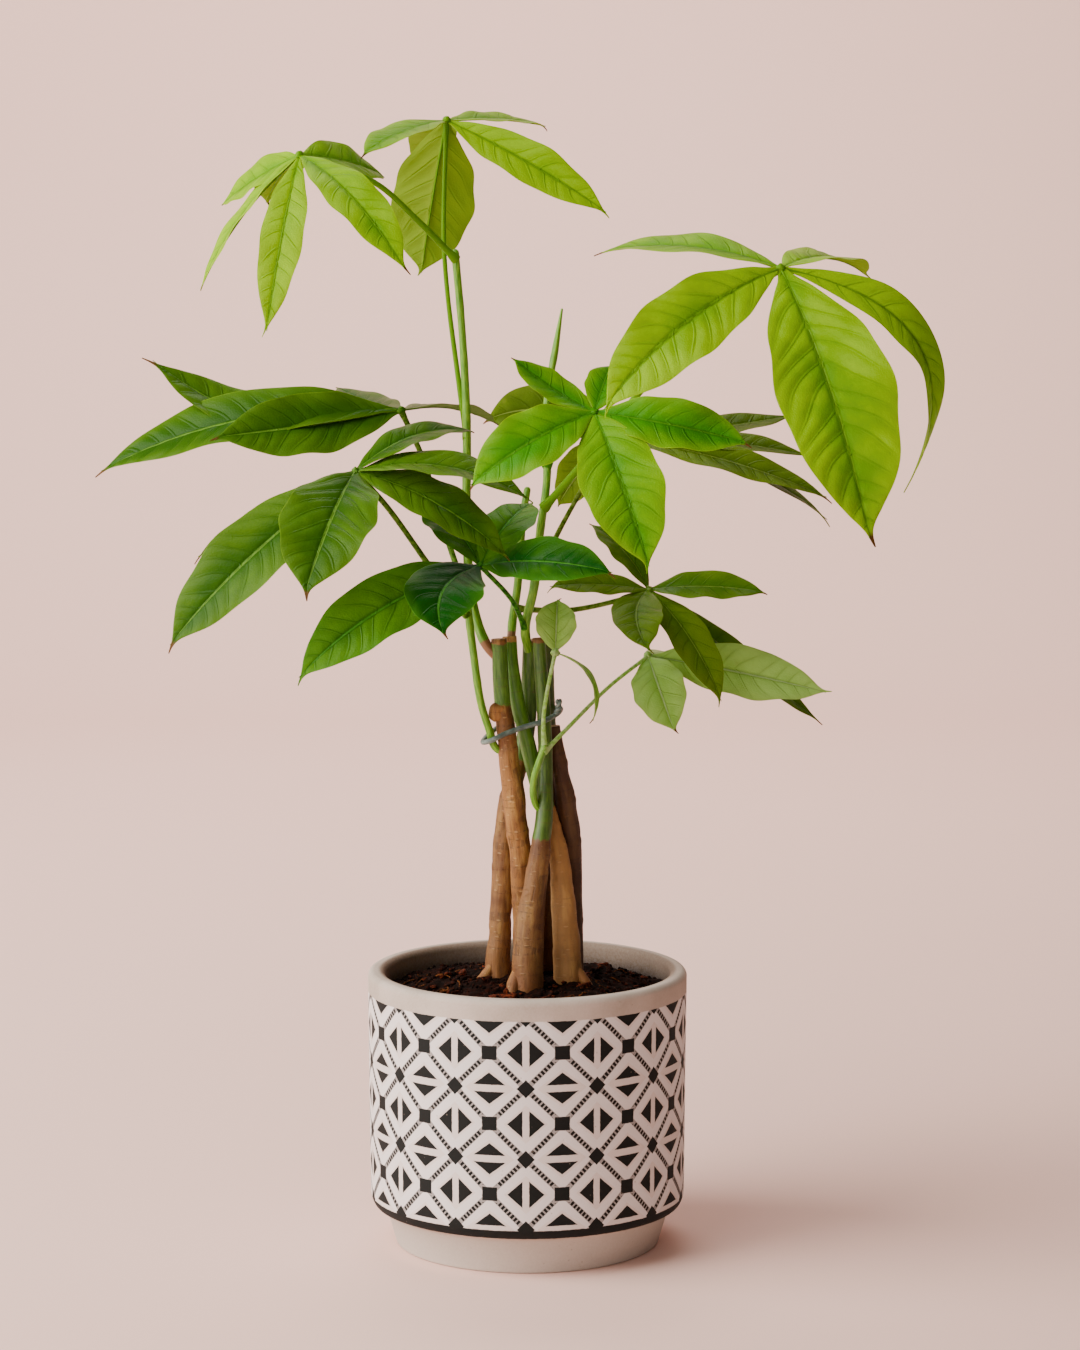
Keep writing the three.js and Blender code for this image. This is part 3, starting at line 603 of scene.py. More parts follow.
# Each cane's last value darkens its bark and skin as painted shade, and below zero lightens them as
# painted light
CANES = {
    "cane_left": {
        "line": [[-10, 8, 60], [-14, 5, 119], [-12.5, 6, 153], [-11, 7, 188], [-9, 8, 208],
                 [-3.8, 8.5, 226], [0, 8, 245], [0.8, 6.2, 265], [1, 4, 284.5]],
        "radii": [3.6, 6.3, 5.2, 5.1, 4.8, 4.3, 4, 3.6, 3.2],
        "bark_top": 228,
        "age": 0.45,
    },
    "cane_front_left": {
        "line": [[1, 6, 60], [0.5, 3, 119], [-0.8, 0.5, 145], [-2, -2, 165], [-3.7, -7, 190],
                 [-6, -10, 210], [-8.6, -10.5, 232], [-9.8, -10, 244], [-11.8, -9, 260],
                 [-13.1, -8, 286.5]],
        "radii": [3.6, 6, 5.8, 5.5, 5.2, 5.2, 4.8, 4.5, 3.8, 3.6],
        "bark_top": 256,
        "age": 0.25,
    },
    "cane_front": {
        "line": [[-4, -16, 60], [0, -20, 119], [0.8, -18.5, 150], [4.8, -15.5, 180],
                 [7.8, -12, 203], [8.4, -9, 222], [7.9, -7, 247], [5.3, -3.6, 286.5]],
        "radii": [4, 7.9, 7, 5, 4.1, 3.5, 3.3, 3],
        "bark_top": 194,
        "age": 0.65,
    },
    "cane_right": {
        "line": [[16, -12, 60], [19, -8, 119], [17.6, -7, 150], [15, -4, 180], [11.5, -1, 198],
                 [6, 0, 214], [2.2, -0.8, 228], [-1, -1.5, 242], [-4.6, -1.2, 256],
                 [-7.4, 0.5, 274], [-8.3, 2, 286.5]],
        "radii": [4, 7.2, 6.2, 4.8, 4.3, 4, 3.8, 3.5, 3.5, 3.4, 3.4],
        "bark_top": 207,
        "age": -0.6,
    },
    "cane_back_right": {
        "line": [[19, 16, 60], [21, 12, 119], [20.6, 10.5, 150], [20.6, 8.8, 175],
                 [19.9, 6.5, 194], [17.5, 3.5, 212], [13.8, 1, 231], [12.2, 0.5, 244.5]],
        "radii": [3.4, 5.8, 5.4, 5.1, 4.9, 4.6, 4.1, 3.3],
        "bark_top": 290,
        "age": 1.05,
    },
    "cane_back": {
        "line": [[8, 18, 60], [9, 14, 119], [9.5, 11, 150], [10, 8.5, 180], [10, 9.5, 205],
                 [9.8, 10, 228], [9.5, 8.5, 250], [9, 6.5, 275], [8.7, 5.7, 285.5]],
        "radii": [3.4, 5, 4.8, 4.6, 4.3, 4, 3.6, 3.3, 3.1],
        "bark_top": 226,
        "age": 0.9,
    },
}
# The rings that close an end: how far past it and how wide, as shares of the radius
SAWN_END = [(0.0, 0.97), (0.05, 0.93), (0.06, 0.8), (0.05, 0.4)]
RING_SPACING = (18, 40)
RING_HEIGHT = 0.24
RING_WIDTH = 1.5
RING_GROOVE = 2.2
RING_SKEW = 1.2
SMOOTH_SHARE = 0.75
CRACK_DEPTH = 0.13
KNOB_HEIGHT = 0.5
BARK_EDGE = 4
BARK_SAMPLES = 200
CALLUS_HEIGHT = 3
CALLUS_EDGE = 1.5
BARK_BROWN = paint(0x7A4A1A)
BARK_TAN = paint(0xA26E32)
BARK_FIBRE = paint(0x57341D)
BARK_THREAD = paint(0x4A2B16)
BARK_HIGHLIGHT = paint(0xD0A050)
BARK_GRAIN = paint(0xDAB070)
BARK_RING = paint(0x3A2114)
BARK_CRACK = paint(0x3E2416)
BARK_PORE = paint(0xD8AC70)
BARK_SPOT = paint(0x4A2A14)
SHADED_BARK = paint(0x341C0B)
LIT_BARK = paint(0xC8985A)
SPLASH_RISE = (0.172, 0.13)
SPLASH_DARK = paint(0x4E260C)
SPLASH_PALE = paint(0x9A5A24)
GREEN_SKIN = paint(0x44721A), paint(0x62902A)
SHADED_SKIN = paint(0x28380A), paint(0x485E16)
SKIN_SCAR = paint(0x5A4A24)
SAWN_WOOD = paint(0x8C5C36), paint(0xC79A6C)


def curve_points(line, count, looped=False):
    """Points along the smooth line through the given points."""
    line = np.array(line, float)
    if looped:
        spans = len(line)
        padded = np.vstack([line[-1:], line, line[:2]])
    else:
        spans = len(line) - 1
        padded = np.vstack([2 * line[:1] - line[1:2], line, 2 * line[-1:] - line[-2:-1]])
    place = np.linspace(0, spans, count, endpoint=not looped)
    low = np.minimum(place.astype(int), spans - 1)
    t = (place - low)[:, None]
    before, start, end, after = (padded[low + step] for step in range(4))
    gap_before, gap, gap_after = (np.sqrt(np.linalg.norm(second - first, axis=1))[:, None]
                                  for first, second in ((before, start), (start, end), (end, after)))
    leave = (start - before) / gap_before - (end - before) / (gap_before + gap) + (end - start) / gap
    arrive = (end - start) / gap - (after - start) / (gap + gap_after) + (after - end) / gap_after
    leave, arrive = leave * gap, arrive * gap
    cubic = 2 * start - 2 * end + leave + arrive
    square = -3 * start + 3 * end - 2 * leave - arrive
    return start + leave * t + square * t ** 2 + cubic * t ** 3


def tube(line, radii, sides, steps, looped=False, end_shape=(), relief=None):
    """A round stem along a smooth line: its body, and the angle and distance along it at each point."""
    centres = curve_points(line, steps if looped else steps + 1, looped)
    if looped:
        tangents = np.roll(centres, -1, axis=0) - np.roll(centres, 1, axis=0)
    else:
        tangents = np.gradient(centres, axis=0)
    tangents /= np.linalg.norm(tangents, axis=1)[:, None]
    along = np.concatenate([[0], np.cumsum(np.linalg.norm(np.diff(centres, axis=0), axis=1))])
    radius = np.interp(np.linspace(0, 1, len(centres)), np.linspace(0, 1, len(radii)), radii)
    for advance, share in end_shape:
        centres = np.vstack([centres, centres[steps] + tangents[steps] * radius[steps] * advance])
        tangents = np.vstack([tangents, tangents[steps]])
        along = np.append(along, along[steps])
        radius = np.append(radius, radius[steps] * share)
    normal = np.array([0.3, 1, 0.2])
    turn = np.linspace(0, 2 * math.pi, sides, endpoint=False)
    rings = np.empty((len(centres), sides, 3))
    for index, (centre, tangent) in enumerate(zip(centres, tangents)):
        normal = normal - normal.dot(tangent) * tangent
        normal /= np.linalg.norm(normal)
        binormal = np.cross(tangent, normal)
        size = np.full(sides, radius[index])
        if relief is not None:
            size = size + relief(turn, along[index], radius[index], index / steps)
        rings[index] = (centre + np.outer(size * np.cos(turn), normal)
                        + np.outer(size * np.sin(turn), binormal))
    count = len(centres)
    points, around, length = rings.reshape(-1, 3), np.tile(turn, count), np.repeat(along, sides)
    if looped:
        return points, grid_faces(count, sides, closed=True, looped=True), around, length
    points = np.vstack([points, centres[:1], centres[-1:]])
    around, length = np.append(around, [0, 0]), np.append(length, [along[0], along[-1]])
    return points, closed_faces(count, sides), around, length


def stem_place(around, along, radius, offset):
    """Where each point of a stem lies on a straightened copy of it."""
    return np.stack([np.cos(around) * radius, np.sin(around) * radius, along + offset], axis=-1)


def bark_relief(seed, length, bark_share):
    """Rings where leaves once grew, and cracks that run lengthwise."""
    draw = np.random.default_rng(seed)
    rings = np.cumsum(draw.uniform(*RING_SPACING, size=int(length / RING_SPACING[0]) + 4))

    def relief(turn, along, radius, share):
        bark = 1 - SMOOTH_SHARE * np.clip((share - bark_share) / 0.04, 0, 1)
        skew = along + RING_SKEW * np.sin(turn + seed)
        bulge = sum(np.exp(-(((skew - ring) / RING_WIDTH) ** 2)) - 0.5
                    * np.exp(-(((skew - ring - RING_GROOVE) / RING_WIDTH * 1.6) ** 2)) for ring in rings)
        points = np.stack([np.cos(turn) * radius * 1.4, np.sin(turn) * radius * 1.4,
                           np.full(len(turn), along * 0.22)], axis=-1)
        cracks = noise_at(points, 1.7, seed) + 0.5 * noise_at(points, 0.8, seed + 1)
        points[:, 2] = along
        knobs = noise_at(points, 8.5, seed + 2)
        return bark * (RING_HEIGHT * bulge + CRACK_DEPTH * (cracks - 0.6)) + KNOB_HEIGHT * bark * knobs
    return relief


def squeezed(place, across, along):
    """A place along a stem, with its spots drawn out or squeezed."""
    inputs = {0: place, 1: (across, across, along)}
    return made(place.tree, "ShaderNodeVectorMath", inputs, operation="MULTIPLY")


def spots(place, scale, size, rarity):
    """Round spots in a few of the cells that fill the surface."""
    cells = add_node(place.tree, "ShaderNodeTexVoronoi", {"Vector": place, "Scale": scale})
    chosen = made(place.tree, "ShaderNodeSeparateColor", {0: Shade(cells.outputs["Color"])})
    return fade(Shade(cells.outputs["Distance"]), *size) * fade(chosen, *rarity)


def cane_bark():
    """Brown bark with fine lengthwise cracks, smooth green skin above it, and sawn wood at the top."""
    material, tree, shader = new_material("cane_bark")
    stem = read_mark(tree, "stem", "Vector")
    green = read_mark(tree, "green")
    age = read_mark(tree, "age")
    height = made(tree, "ShaderNodeSeparateXYZ", {0: object_place(tree)}, 2)
    stretch = squeezed(stem, 1.0, 0.12)
    fibres = noise(stretch, 0.9, 5.0, 0.6)
    patches = noise(stem, 0.09, 3.0, 0.5)
    # Long streaky patches that carry a painted highlight
    blotches = noise(squeezed(stem, 0.6, 0.1), 0.5, 3.0, 0.55)
    threads = noise(squeezed(stem, 1.0, 0.06), 2.2, 2.0, 0.5)
    cracks = fade(noise(stretch, 0.55, 4.0, 0.65), 0.37, 0.29)
    grain = noise(stem, 1.6, 4.0, 0.7)
    bands = noise(squeezed(stem, 0.08, 1.0), 0.09, 1.0, 0.4)
    ring = fade(abs(bands - 0.5), 0.012, 0.003) * fade(fibres, 0.42, 0.58)
    pores = spots(squeezed(stem, 0.6, 1.1), 0.5, (0.3, 0.14), (0.55, 0.75))
    rough_spots = fade(noise(stem, 0.7, 5.0, 0.75), 0.56, 0.7)
    bark = layered(blend(fade(patches, 0.3, 0.7), BARK_BROWN, BARK_TAN), [
        (fade(fibres, 0.55, 0.3), 0.4, BARK_FIBRE),
        (fade(threads, 0.5, 0.7), 0.16, BARK_THREAD),
        # Painted highlight: light tan streaks drawn out along the bark, for light caught on it
        (fade(blotches, 0.48, 0.7), 0.55, BARK_HIGHLIGHT),
        (fade(grain, 0.6, 0.8), 0.2, BARK_GRAIN),
        (ring, 0.5, BARK_RING),
        (cracks, 0.45, BARK_CRACK),
        (pores, 0.5, BARK_PORE),
        (rough_spots, 0.35, BARK_SPOT),
        # Painted shade darkens the canes that stand in shade; below zero, painted light lightens the lit
        # cane
        (age, 0.8, SHADED_BARK),
        (age, -0.8, LIT_BARK),
        (fade(height + patches * 0.03, *SPLASH_RISE), 0.7, blend(fibres, SPLASH_DARK, SPLASH_PALE)),
    ])
    streaks = fade(fibres, 0.35, 0.65)
    # On canes in shade the green skin turns to a darker copy: painted shade
    skin = blend(age, blend(streaks, *GREEN_SKIN), blend(streaks, *SHADED_SKIN))
    skin = blend(fade(abs(bands - 0.46), 0.01, 0.003) * 0.35, skin, SKIN_SCAR)
    colour = blend(fade(green + (fibres - 0.5), 0.35, 0.65), bark, skin)
    colour = blend(read_mark(tree, "sawn"), colour, blend(fade(grain, 0.35, 0.7), *SAWN_WOOD))
    rough = 0.66 - green * 0.24 + (grain - 0.5) * 0.2
    relief = fibres + grain * 0.3 - cracks + (pores - rough_spots) * 0.5
    cover(shader, colour, rough, relief * (1.0 - green * 0.75), 0.6, 0.0006)
    return material


bark_material = cane_bark()
for seed, (name, cane) in enumerate(CANES.items(), start=31):
    line = np.array(cane["line"])
    length = np.linalg.norm(np.diff(line, axis=0), axis=1).sum()
    heights = curve_points(line, BARK_SAMPLES)[:, 2]
    bark_share = np.searchsorted(heights, cane["bark_top"]) / BARK_SAMPLES
    points, faces, around, along = tube(line, cane["radii"], CANE_SIDES, CANE_STEPS, end_shape=SAWN_END,
                                        relief=bark_relief(seed, length, bark_share))
    reach = np.interp(along, [0, length], [cane["radii"][0], cane["radii"][-1]])
    stem = stem_place(around, along, reach, seed * 50)
    callus = np.clip((points[:, 2] - line[-1, 2] + CALLUS_HEIGHT) / CALLUS_EDGE, 0, 1)
    green = np.clip((points[:, 2] - cane["bark_top"]) / BARK_EDGE + 0.5, 0, 1) * (1 - callus)
    # The cut face is the two innermost rings of the end and their middle, the last point
    sawn = np.zeros(len(points))
    sawn[(CANE_STEPS + 3) * CANE_SIDES:] = 1
    sawn[-2] = 0
    marks = {"stem": stem, "green": green, "sawn": sawn, "age": np.full(len(points), cane["age"])}
    piece = make_piece(name.replace("cane", "trunk"), points, faces, marks, bark_material)
    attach(piece, "root")
    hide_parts(name)

# Bark knob and root flares
# A rounded knob has grown on the left front trunk just above the tie, and three short root flares
# run from the trunks down into the soil.

BARK_KNOB = [-13.6, -10.6, 252.6]
BARK_KNOB_SIZE = np.array([8.2, 7.4, 9])
FLARE_SIDES = 20
FLARE_STEPS = 30
ROOT_FLARES = [
    ([[-4, -20, 134], [-6.4, -23.4, 127], [-7.6, -26, 120]], [2.2, 3.2, 2.4]),
    ([[-16, 3, 132], [-19.5, 1, 126.6], [-25, -2, 122.5]], [2, 2.6, 1.4]),
    ([[23, -10, 132], [27, -12, 126], [31, -14, 121.5]], [2, 2.4, 1.4]),
]
ROUND_END = [(0.5, 0.87), (0.87, 0.5), (0.98, 0.17)]

knob, faces = lump(BARK_KNOB_SIZE, 4, rows=15, columns=26, boxy=0.95)
bits = [(knob + BARK_KNOB, faces, np.arctan2(knob[:, 1], knob[:, 0]), knob[:, 2])]
for line, radii in ROOT_FLARES:
    bits.append(tube(line, radii, FLARE_SIDES, FLARE_STEPS, end_shape=ROUND_END))
woody_bits = []
for index, (points, faces, around, along) in enumerate(bits):
    marks = dict.fromkeys(("green", "sawn", "age"), np.zeros(len(points)))
    marks["stem"] = stem_place(around, along, 4, index * 40)
    woody_bits.append((points, faces, marks))
knobs_and_roots = make_piece("knobs_and_roots", *joined(woody_bits), bark_material)
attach(knobs_and_roots, "root")

# Soil fibres
# Thin brown fibres, pieces of root and coir, are mixed into the soil. Fifty of them lie in short
# bends on its top, between the crumbs and the chips.

FIBRES = 50
FIBRE_FIELD = 60
FIBRE_REACH = 65
FIBRE_RADII = [0.32, 0.38, 0.2]
FIBRE_BENDS = 4
FIBRE_STEP = (1.2, 3.2)
FIBRE_TURN = 0.5
FIBRE_LIFT = 0.7
FIBRE_SWAY = 0.9
FIBRE_SIDES = 5
FIBRE_RINGS = 12
FIBRE_DARK = paint(0x2A1408)
FIBRE_PALE = paint(0x7E4822)

fibres = []
for index in range(FIBRES):
    radius = FIBRE_FIELD * math.sqrt(scatter.uniform(0.05, 1))
    angle, heading = scatter.uniform(0, 2 * math.pi, 2)
    x, y = radius * math.cos(angle), radius * math.sin(angle)
    steps = np.cumsum(scatter.uniform(*FIBRE_STEP, FIBRE_BENDS))
    path = []
    for place, step in enumerate([0, *steps]):
        heading += scatter.uniform(-FIBRE_TURN, FIBRE_TURN)
        px, py = x + step * math.cos(heading), y + step * math.sin(heading)
        reach = min(1, FIBRE_REACH / max(math.hypot(px, py), 1))
        lift = FIBRE_LIFT + FIBRE_SWAY * math.sin(place * 1.3 + index)
        px, py = px * reach, py * reach
        path.append([px, py, soil_height(math.hypot(px, py), math.atan2(py, px)) + lift])
    body, faces, _, _ = tube(path, FIBRE_RADII, FIBRE_SIDES, FIBRE_RINGS)
    fibres.append((body, faces, {"tint": np.full(len(body), scatter.uniform(0.3, 1.1))}))
fibre_brown = earthy("fibre_brown", FIBRE_DARK, FIBRE_PALE, 300.0, 0.85)
soil_fibres = make_piece("soil_fibres", *joined(fibres), fibre_brown)
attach(soil_fibres, "root")

# Tie
# One length of coated grey-green wire goes round the upper part of the braid, and its two ends
# are twisted together on the right.

TIE_RADIUS = 1.2
TIE_SIDES = 16
TIE_STEPS = 220
TIE_LOOP = [
    [-20.4, -13.4, 239], [-16.4, -17.4, 240.5], [-11, -16.4, 243], [-2, -13.6, 246],
    [7, -12.2, 248.5], [13.2, -7.4, 251], [15.4, 1, 252], [14.8, 9.2, 252],
    [9.4, 14, 251.5], [0.6, 14.2, 250], [-6.6, 10, 247], [-14.6, 0, 243.5], [-19.2, -8, 240.5],
]
TIE_TWIST = [[13.2, -7.4, 251], [14.4, -9, 254], [14.6, -10, 258]]
STRAND_RADIUS = 0.85
STRAND_SIDES = 12
STRAND_STEPS = 60
STRAND_OFFSET = 0.75
TWIST_TURNS = 1.6
TWIST_POINTS = 24
WIRE_GREEN = paint(0x4C5D57)
WIRE_BLOOM = paint(0x7F8E86)


def coated_wire():
    """Grey-green plastic coating with a dusty bloom."""
    material, tree, shader = new_material("coated_wire")
    bloom = noise(object_place(tree), 260.0, 5.0, 0.6)
    colour = blend(fade(bloom, 0.35, 0.7), WIRE_GREEN, WIRE_BLOOM)
    cover(shader, colour, bloom * 0.3 + 0.35, bloom, 0.2, 0.0002)
    return material


wire, faces, _, _ = tube(TIE_LOOP, [TIE_RADIUS, TIE_RADIUS], TIE_SIDES, TIE_STEPS, looped=True)
tie_bodies = [(wire, faces, {})]
twist_line = curve_points(TIE_TWIST, TWIST_POINTS)
for start in (0, math.pi):
    turn = start + np.linspace(0, 2 * math.pi * TWIST_TURNS, TWIST_POINTS)
    strand = twist_line + STRAND_OFFSET * np.stack([np.cos(turn), np.sin(turn), 0 * turn], axis=-1)
    body, faces, _, _ = tube(strand, [STRAND_RADIUS, STRAND_RADIUS], STRAND_SIDES, STRAND_STEPS,
                             end_shape=ROUND_END)
    tie_bodies.append((body, faces, {}))
tie = make_piece("wire_tie", *joined(tie_bodies), coated_wire())
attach(tie, "root")
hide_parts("tie")

# Green shoots
# New growth rises from the canes as slim soft stems with a green skin, a little swollen at their
# joints. Two of them are brown and woody at the foot.

SHOOT_SIDES = 28
SHOOT_STEPS = 90
JOINT_SPACING = 26
JOINT_WIDTH = 2.2
JOINT_HEIGHT = 0.12
WOODY_EDGE = 3
STEM_GREEN = paint(0x4C8A12)
STEM_PALE = paint(0x86B828)
STEM_RUST = paint(0x7A8030)
WOODY_FOOT = paint(0x5E3A22), paint(0xB07C50)
SHOOTS = {
    "shoot_tall": {
        "line": [[-12.6, -8.4, 276.5], [-19.4, -6.4, 284.5], [-25.5, 0, 303], [-28, 4, 331],
                 [-28, 5, 387], [-30, 2, 429], [-33, 0, 464]],
        "radii": [2.3, 2.4, 2.2, 2.1, 1.9, 1.7, 1.8],
        "woody": 13,
    },
    "shoot_centre": {
        "line": [[1, 4.9, 277.5], [-1, -4, 291], [3, -8, 310], [6, -8, 337],
                 [9, -5, 360], [9, 0, 395], [13, 3, 420], [16, 5, 438]],
        "radii": [2.1, 2.2, 2.1, 1.9, 1.8, 1.6, 1.6, 0.5],
    },
    "shoot_back": {
        "line": [[-7.8, 1.1, 279.5], [-7, 6, 293], [-4.5, 9.5, 310], [-2, 11, 342], [0, 12, 354]],
        "radii": [2, 2, 1.9, 1.7, 1.6],
        "woody": 11,
    },
    "shoot_left": {
        "line": [[-9.6, -10, 233], [-15, -11.2, 236.5], [-17.4, -13, 244],
                 [-21.5, -15, 258], [-25, -14, 282], [-28, -12, 306]],
        "radii": [1.7, 1.8, 1.8, 1.8, 1.8, 1.8],
    },
    "shoot_bud": {
        "line": [[8, -11.5, 205], [4, -13.4, 209.5], [2.6, -15.8, 216], [3.2, -17.2, 223], [8, -19, 238]],
        "radii": [1.4, 1.5, 1.6, 1.6, 1.6],
    },
}


def shoot_relief(turn, along, radius, share):
    """A slight swelling at each joint of the shoot, and flat sides between."""
    joint = math.exp(-((along % JOINT_SPACING - JOINT_SPACING / 2) / JOINT_WIDTH) ** 2)
    return JOINT_HEIGHT * joint + 0.06 * np.cos(5 * turn + share * 2)


def soft_stem():
    """Green skin with pale streaks, browner in places."""
    material, tree, shader = new_material("soft_stem")
    stem = read_mark(tree, "stem", "Vector")
    streaks = noise(squeezed(stem, 1.0, 0.1), 1.6, 4.0, 0.6)
    rust = fade(noise(stem, 0.09, 4.0, 0.6), 0.6, 0.76)
    colour = blend(fade(streaks, 0.35, 0.68), STEM_GREEN, STEM_PALE)
    colour = blend(rust * 0.35, colour, STEM_RUST)
    foot = fade(read_mark(tree, "woody") + streaks * 0.5, 0.6, 0.9)
    colour = blend(foot, colour, blend(streaks, *WOODY_FOOT))
    cover(shader, colour, streaks * 0.25 + 0.34, streaks, 0.3, 0.0003)
    return material


stem_material = soft_stem()
for index, (name, shoot) in enumerate(SHOOTS.items()):
    points, faces, around, along = tube(shoot["line"], shoot["radii"], SHOOT_SIDES, SHOOT_STEPS,
                                        end_shape=ROUND_END, relief=shoot_relief)
    woody = np.clip((shoot.get("woody", 0) - along) / WOODY_EDGE, 0, 1)
    marks = {"stem": stem_place(around, along, 2.0, index * 90), "woody": woody}
    piece = make_piece(name.replace("shoot", "green_stem"), points, faces, marks, stem_material)
    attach(piece, "root")
    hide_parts(name)

# Compound leaves
# Each leaf is a long stalk that ends in a small knob, with glossy pointed leaflets spread round it
# like fingers. A leaflet is thin and quilted between its veins, and its tip draws out to a point.

BLADE_OUTLINE = [
    [0, 0.06], [0.05, 0.17], [0.1, 0.35], [0.2, 0.64], [0.3, 0.86], [0.42, 0.98], [0.52, 1],
    [0.62, 0.94], [0.72, 0.8], [0.81, 0.6], [0.89, 0.3], [0.93, 0.13], [0.96, 0.05], [1, 0.012],
]
TAIL_START = 0.9
TAIL_HOOK = 2.4
BLADE_THICKNESS = 0.5
BLADE_ARCH = 0.09
BLADE_FOLD = 0.16
BLADE_WAVE = 0.05
WAVE_COUNT = (2.2, 3.6)
BLADE_LEAN = 0.1
SIDE_DIFFERENCE = 0.05
FEWEST_STATIONS = 44
STATIONS_PER_MM = 0.85
FEWEST_COLUMNS = 9
COLUMNS_PER_MM = 0.4
VEIN_SLANT = 0.55
VEIN_CURL = 0.35
QUILT_SHARE = 0.06
HUB_RADIUS = 2.0
VEIN_SPACING = 8.5
VEIN_PAIRS = (6, 13)
VEIN_WANDER = 0.22
PETIOLE_FOOT = 1.25
PETIOLE_SIDES = 16
PETIOLE_STEPS = 70
MIDRIB_ROOT = 0.85
MIDRIB_TIP = 0.18
MIDRIB_FULL_WIDTH = 26
MIDRIB_END = 0.97
MIDRIB_POINTS = 15
MIDRIB_SIDES = 10
MIDRIB_STEPS = 60
BLADE_EDGE_ANGLE = math.radians(50)
UP = [0, 0, 1]
LEAF_COLOURS = ("Light", "Deep", "Vein", "Rib", "Margin", "Underside")
DRY_TIP = paint(0x6B4A22)
LEAF_GLOW = paint(0xE6FFA0)


def leaflet_to(reach, width, **shape):
    """A leaflet by its reach from the hub and its width, and by how it differs from a plain one."""
    return {"reach": reach, "width": width, **shape}


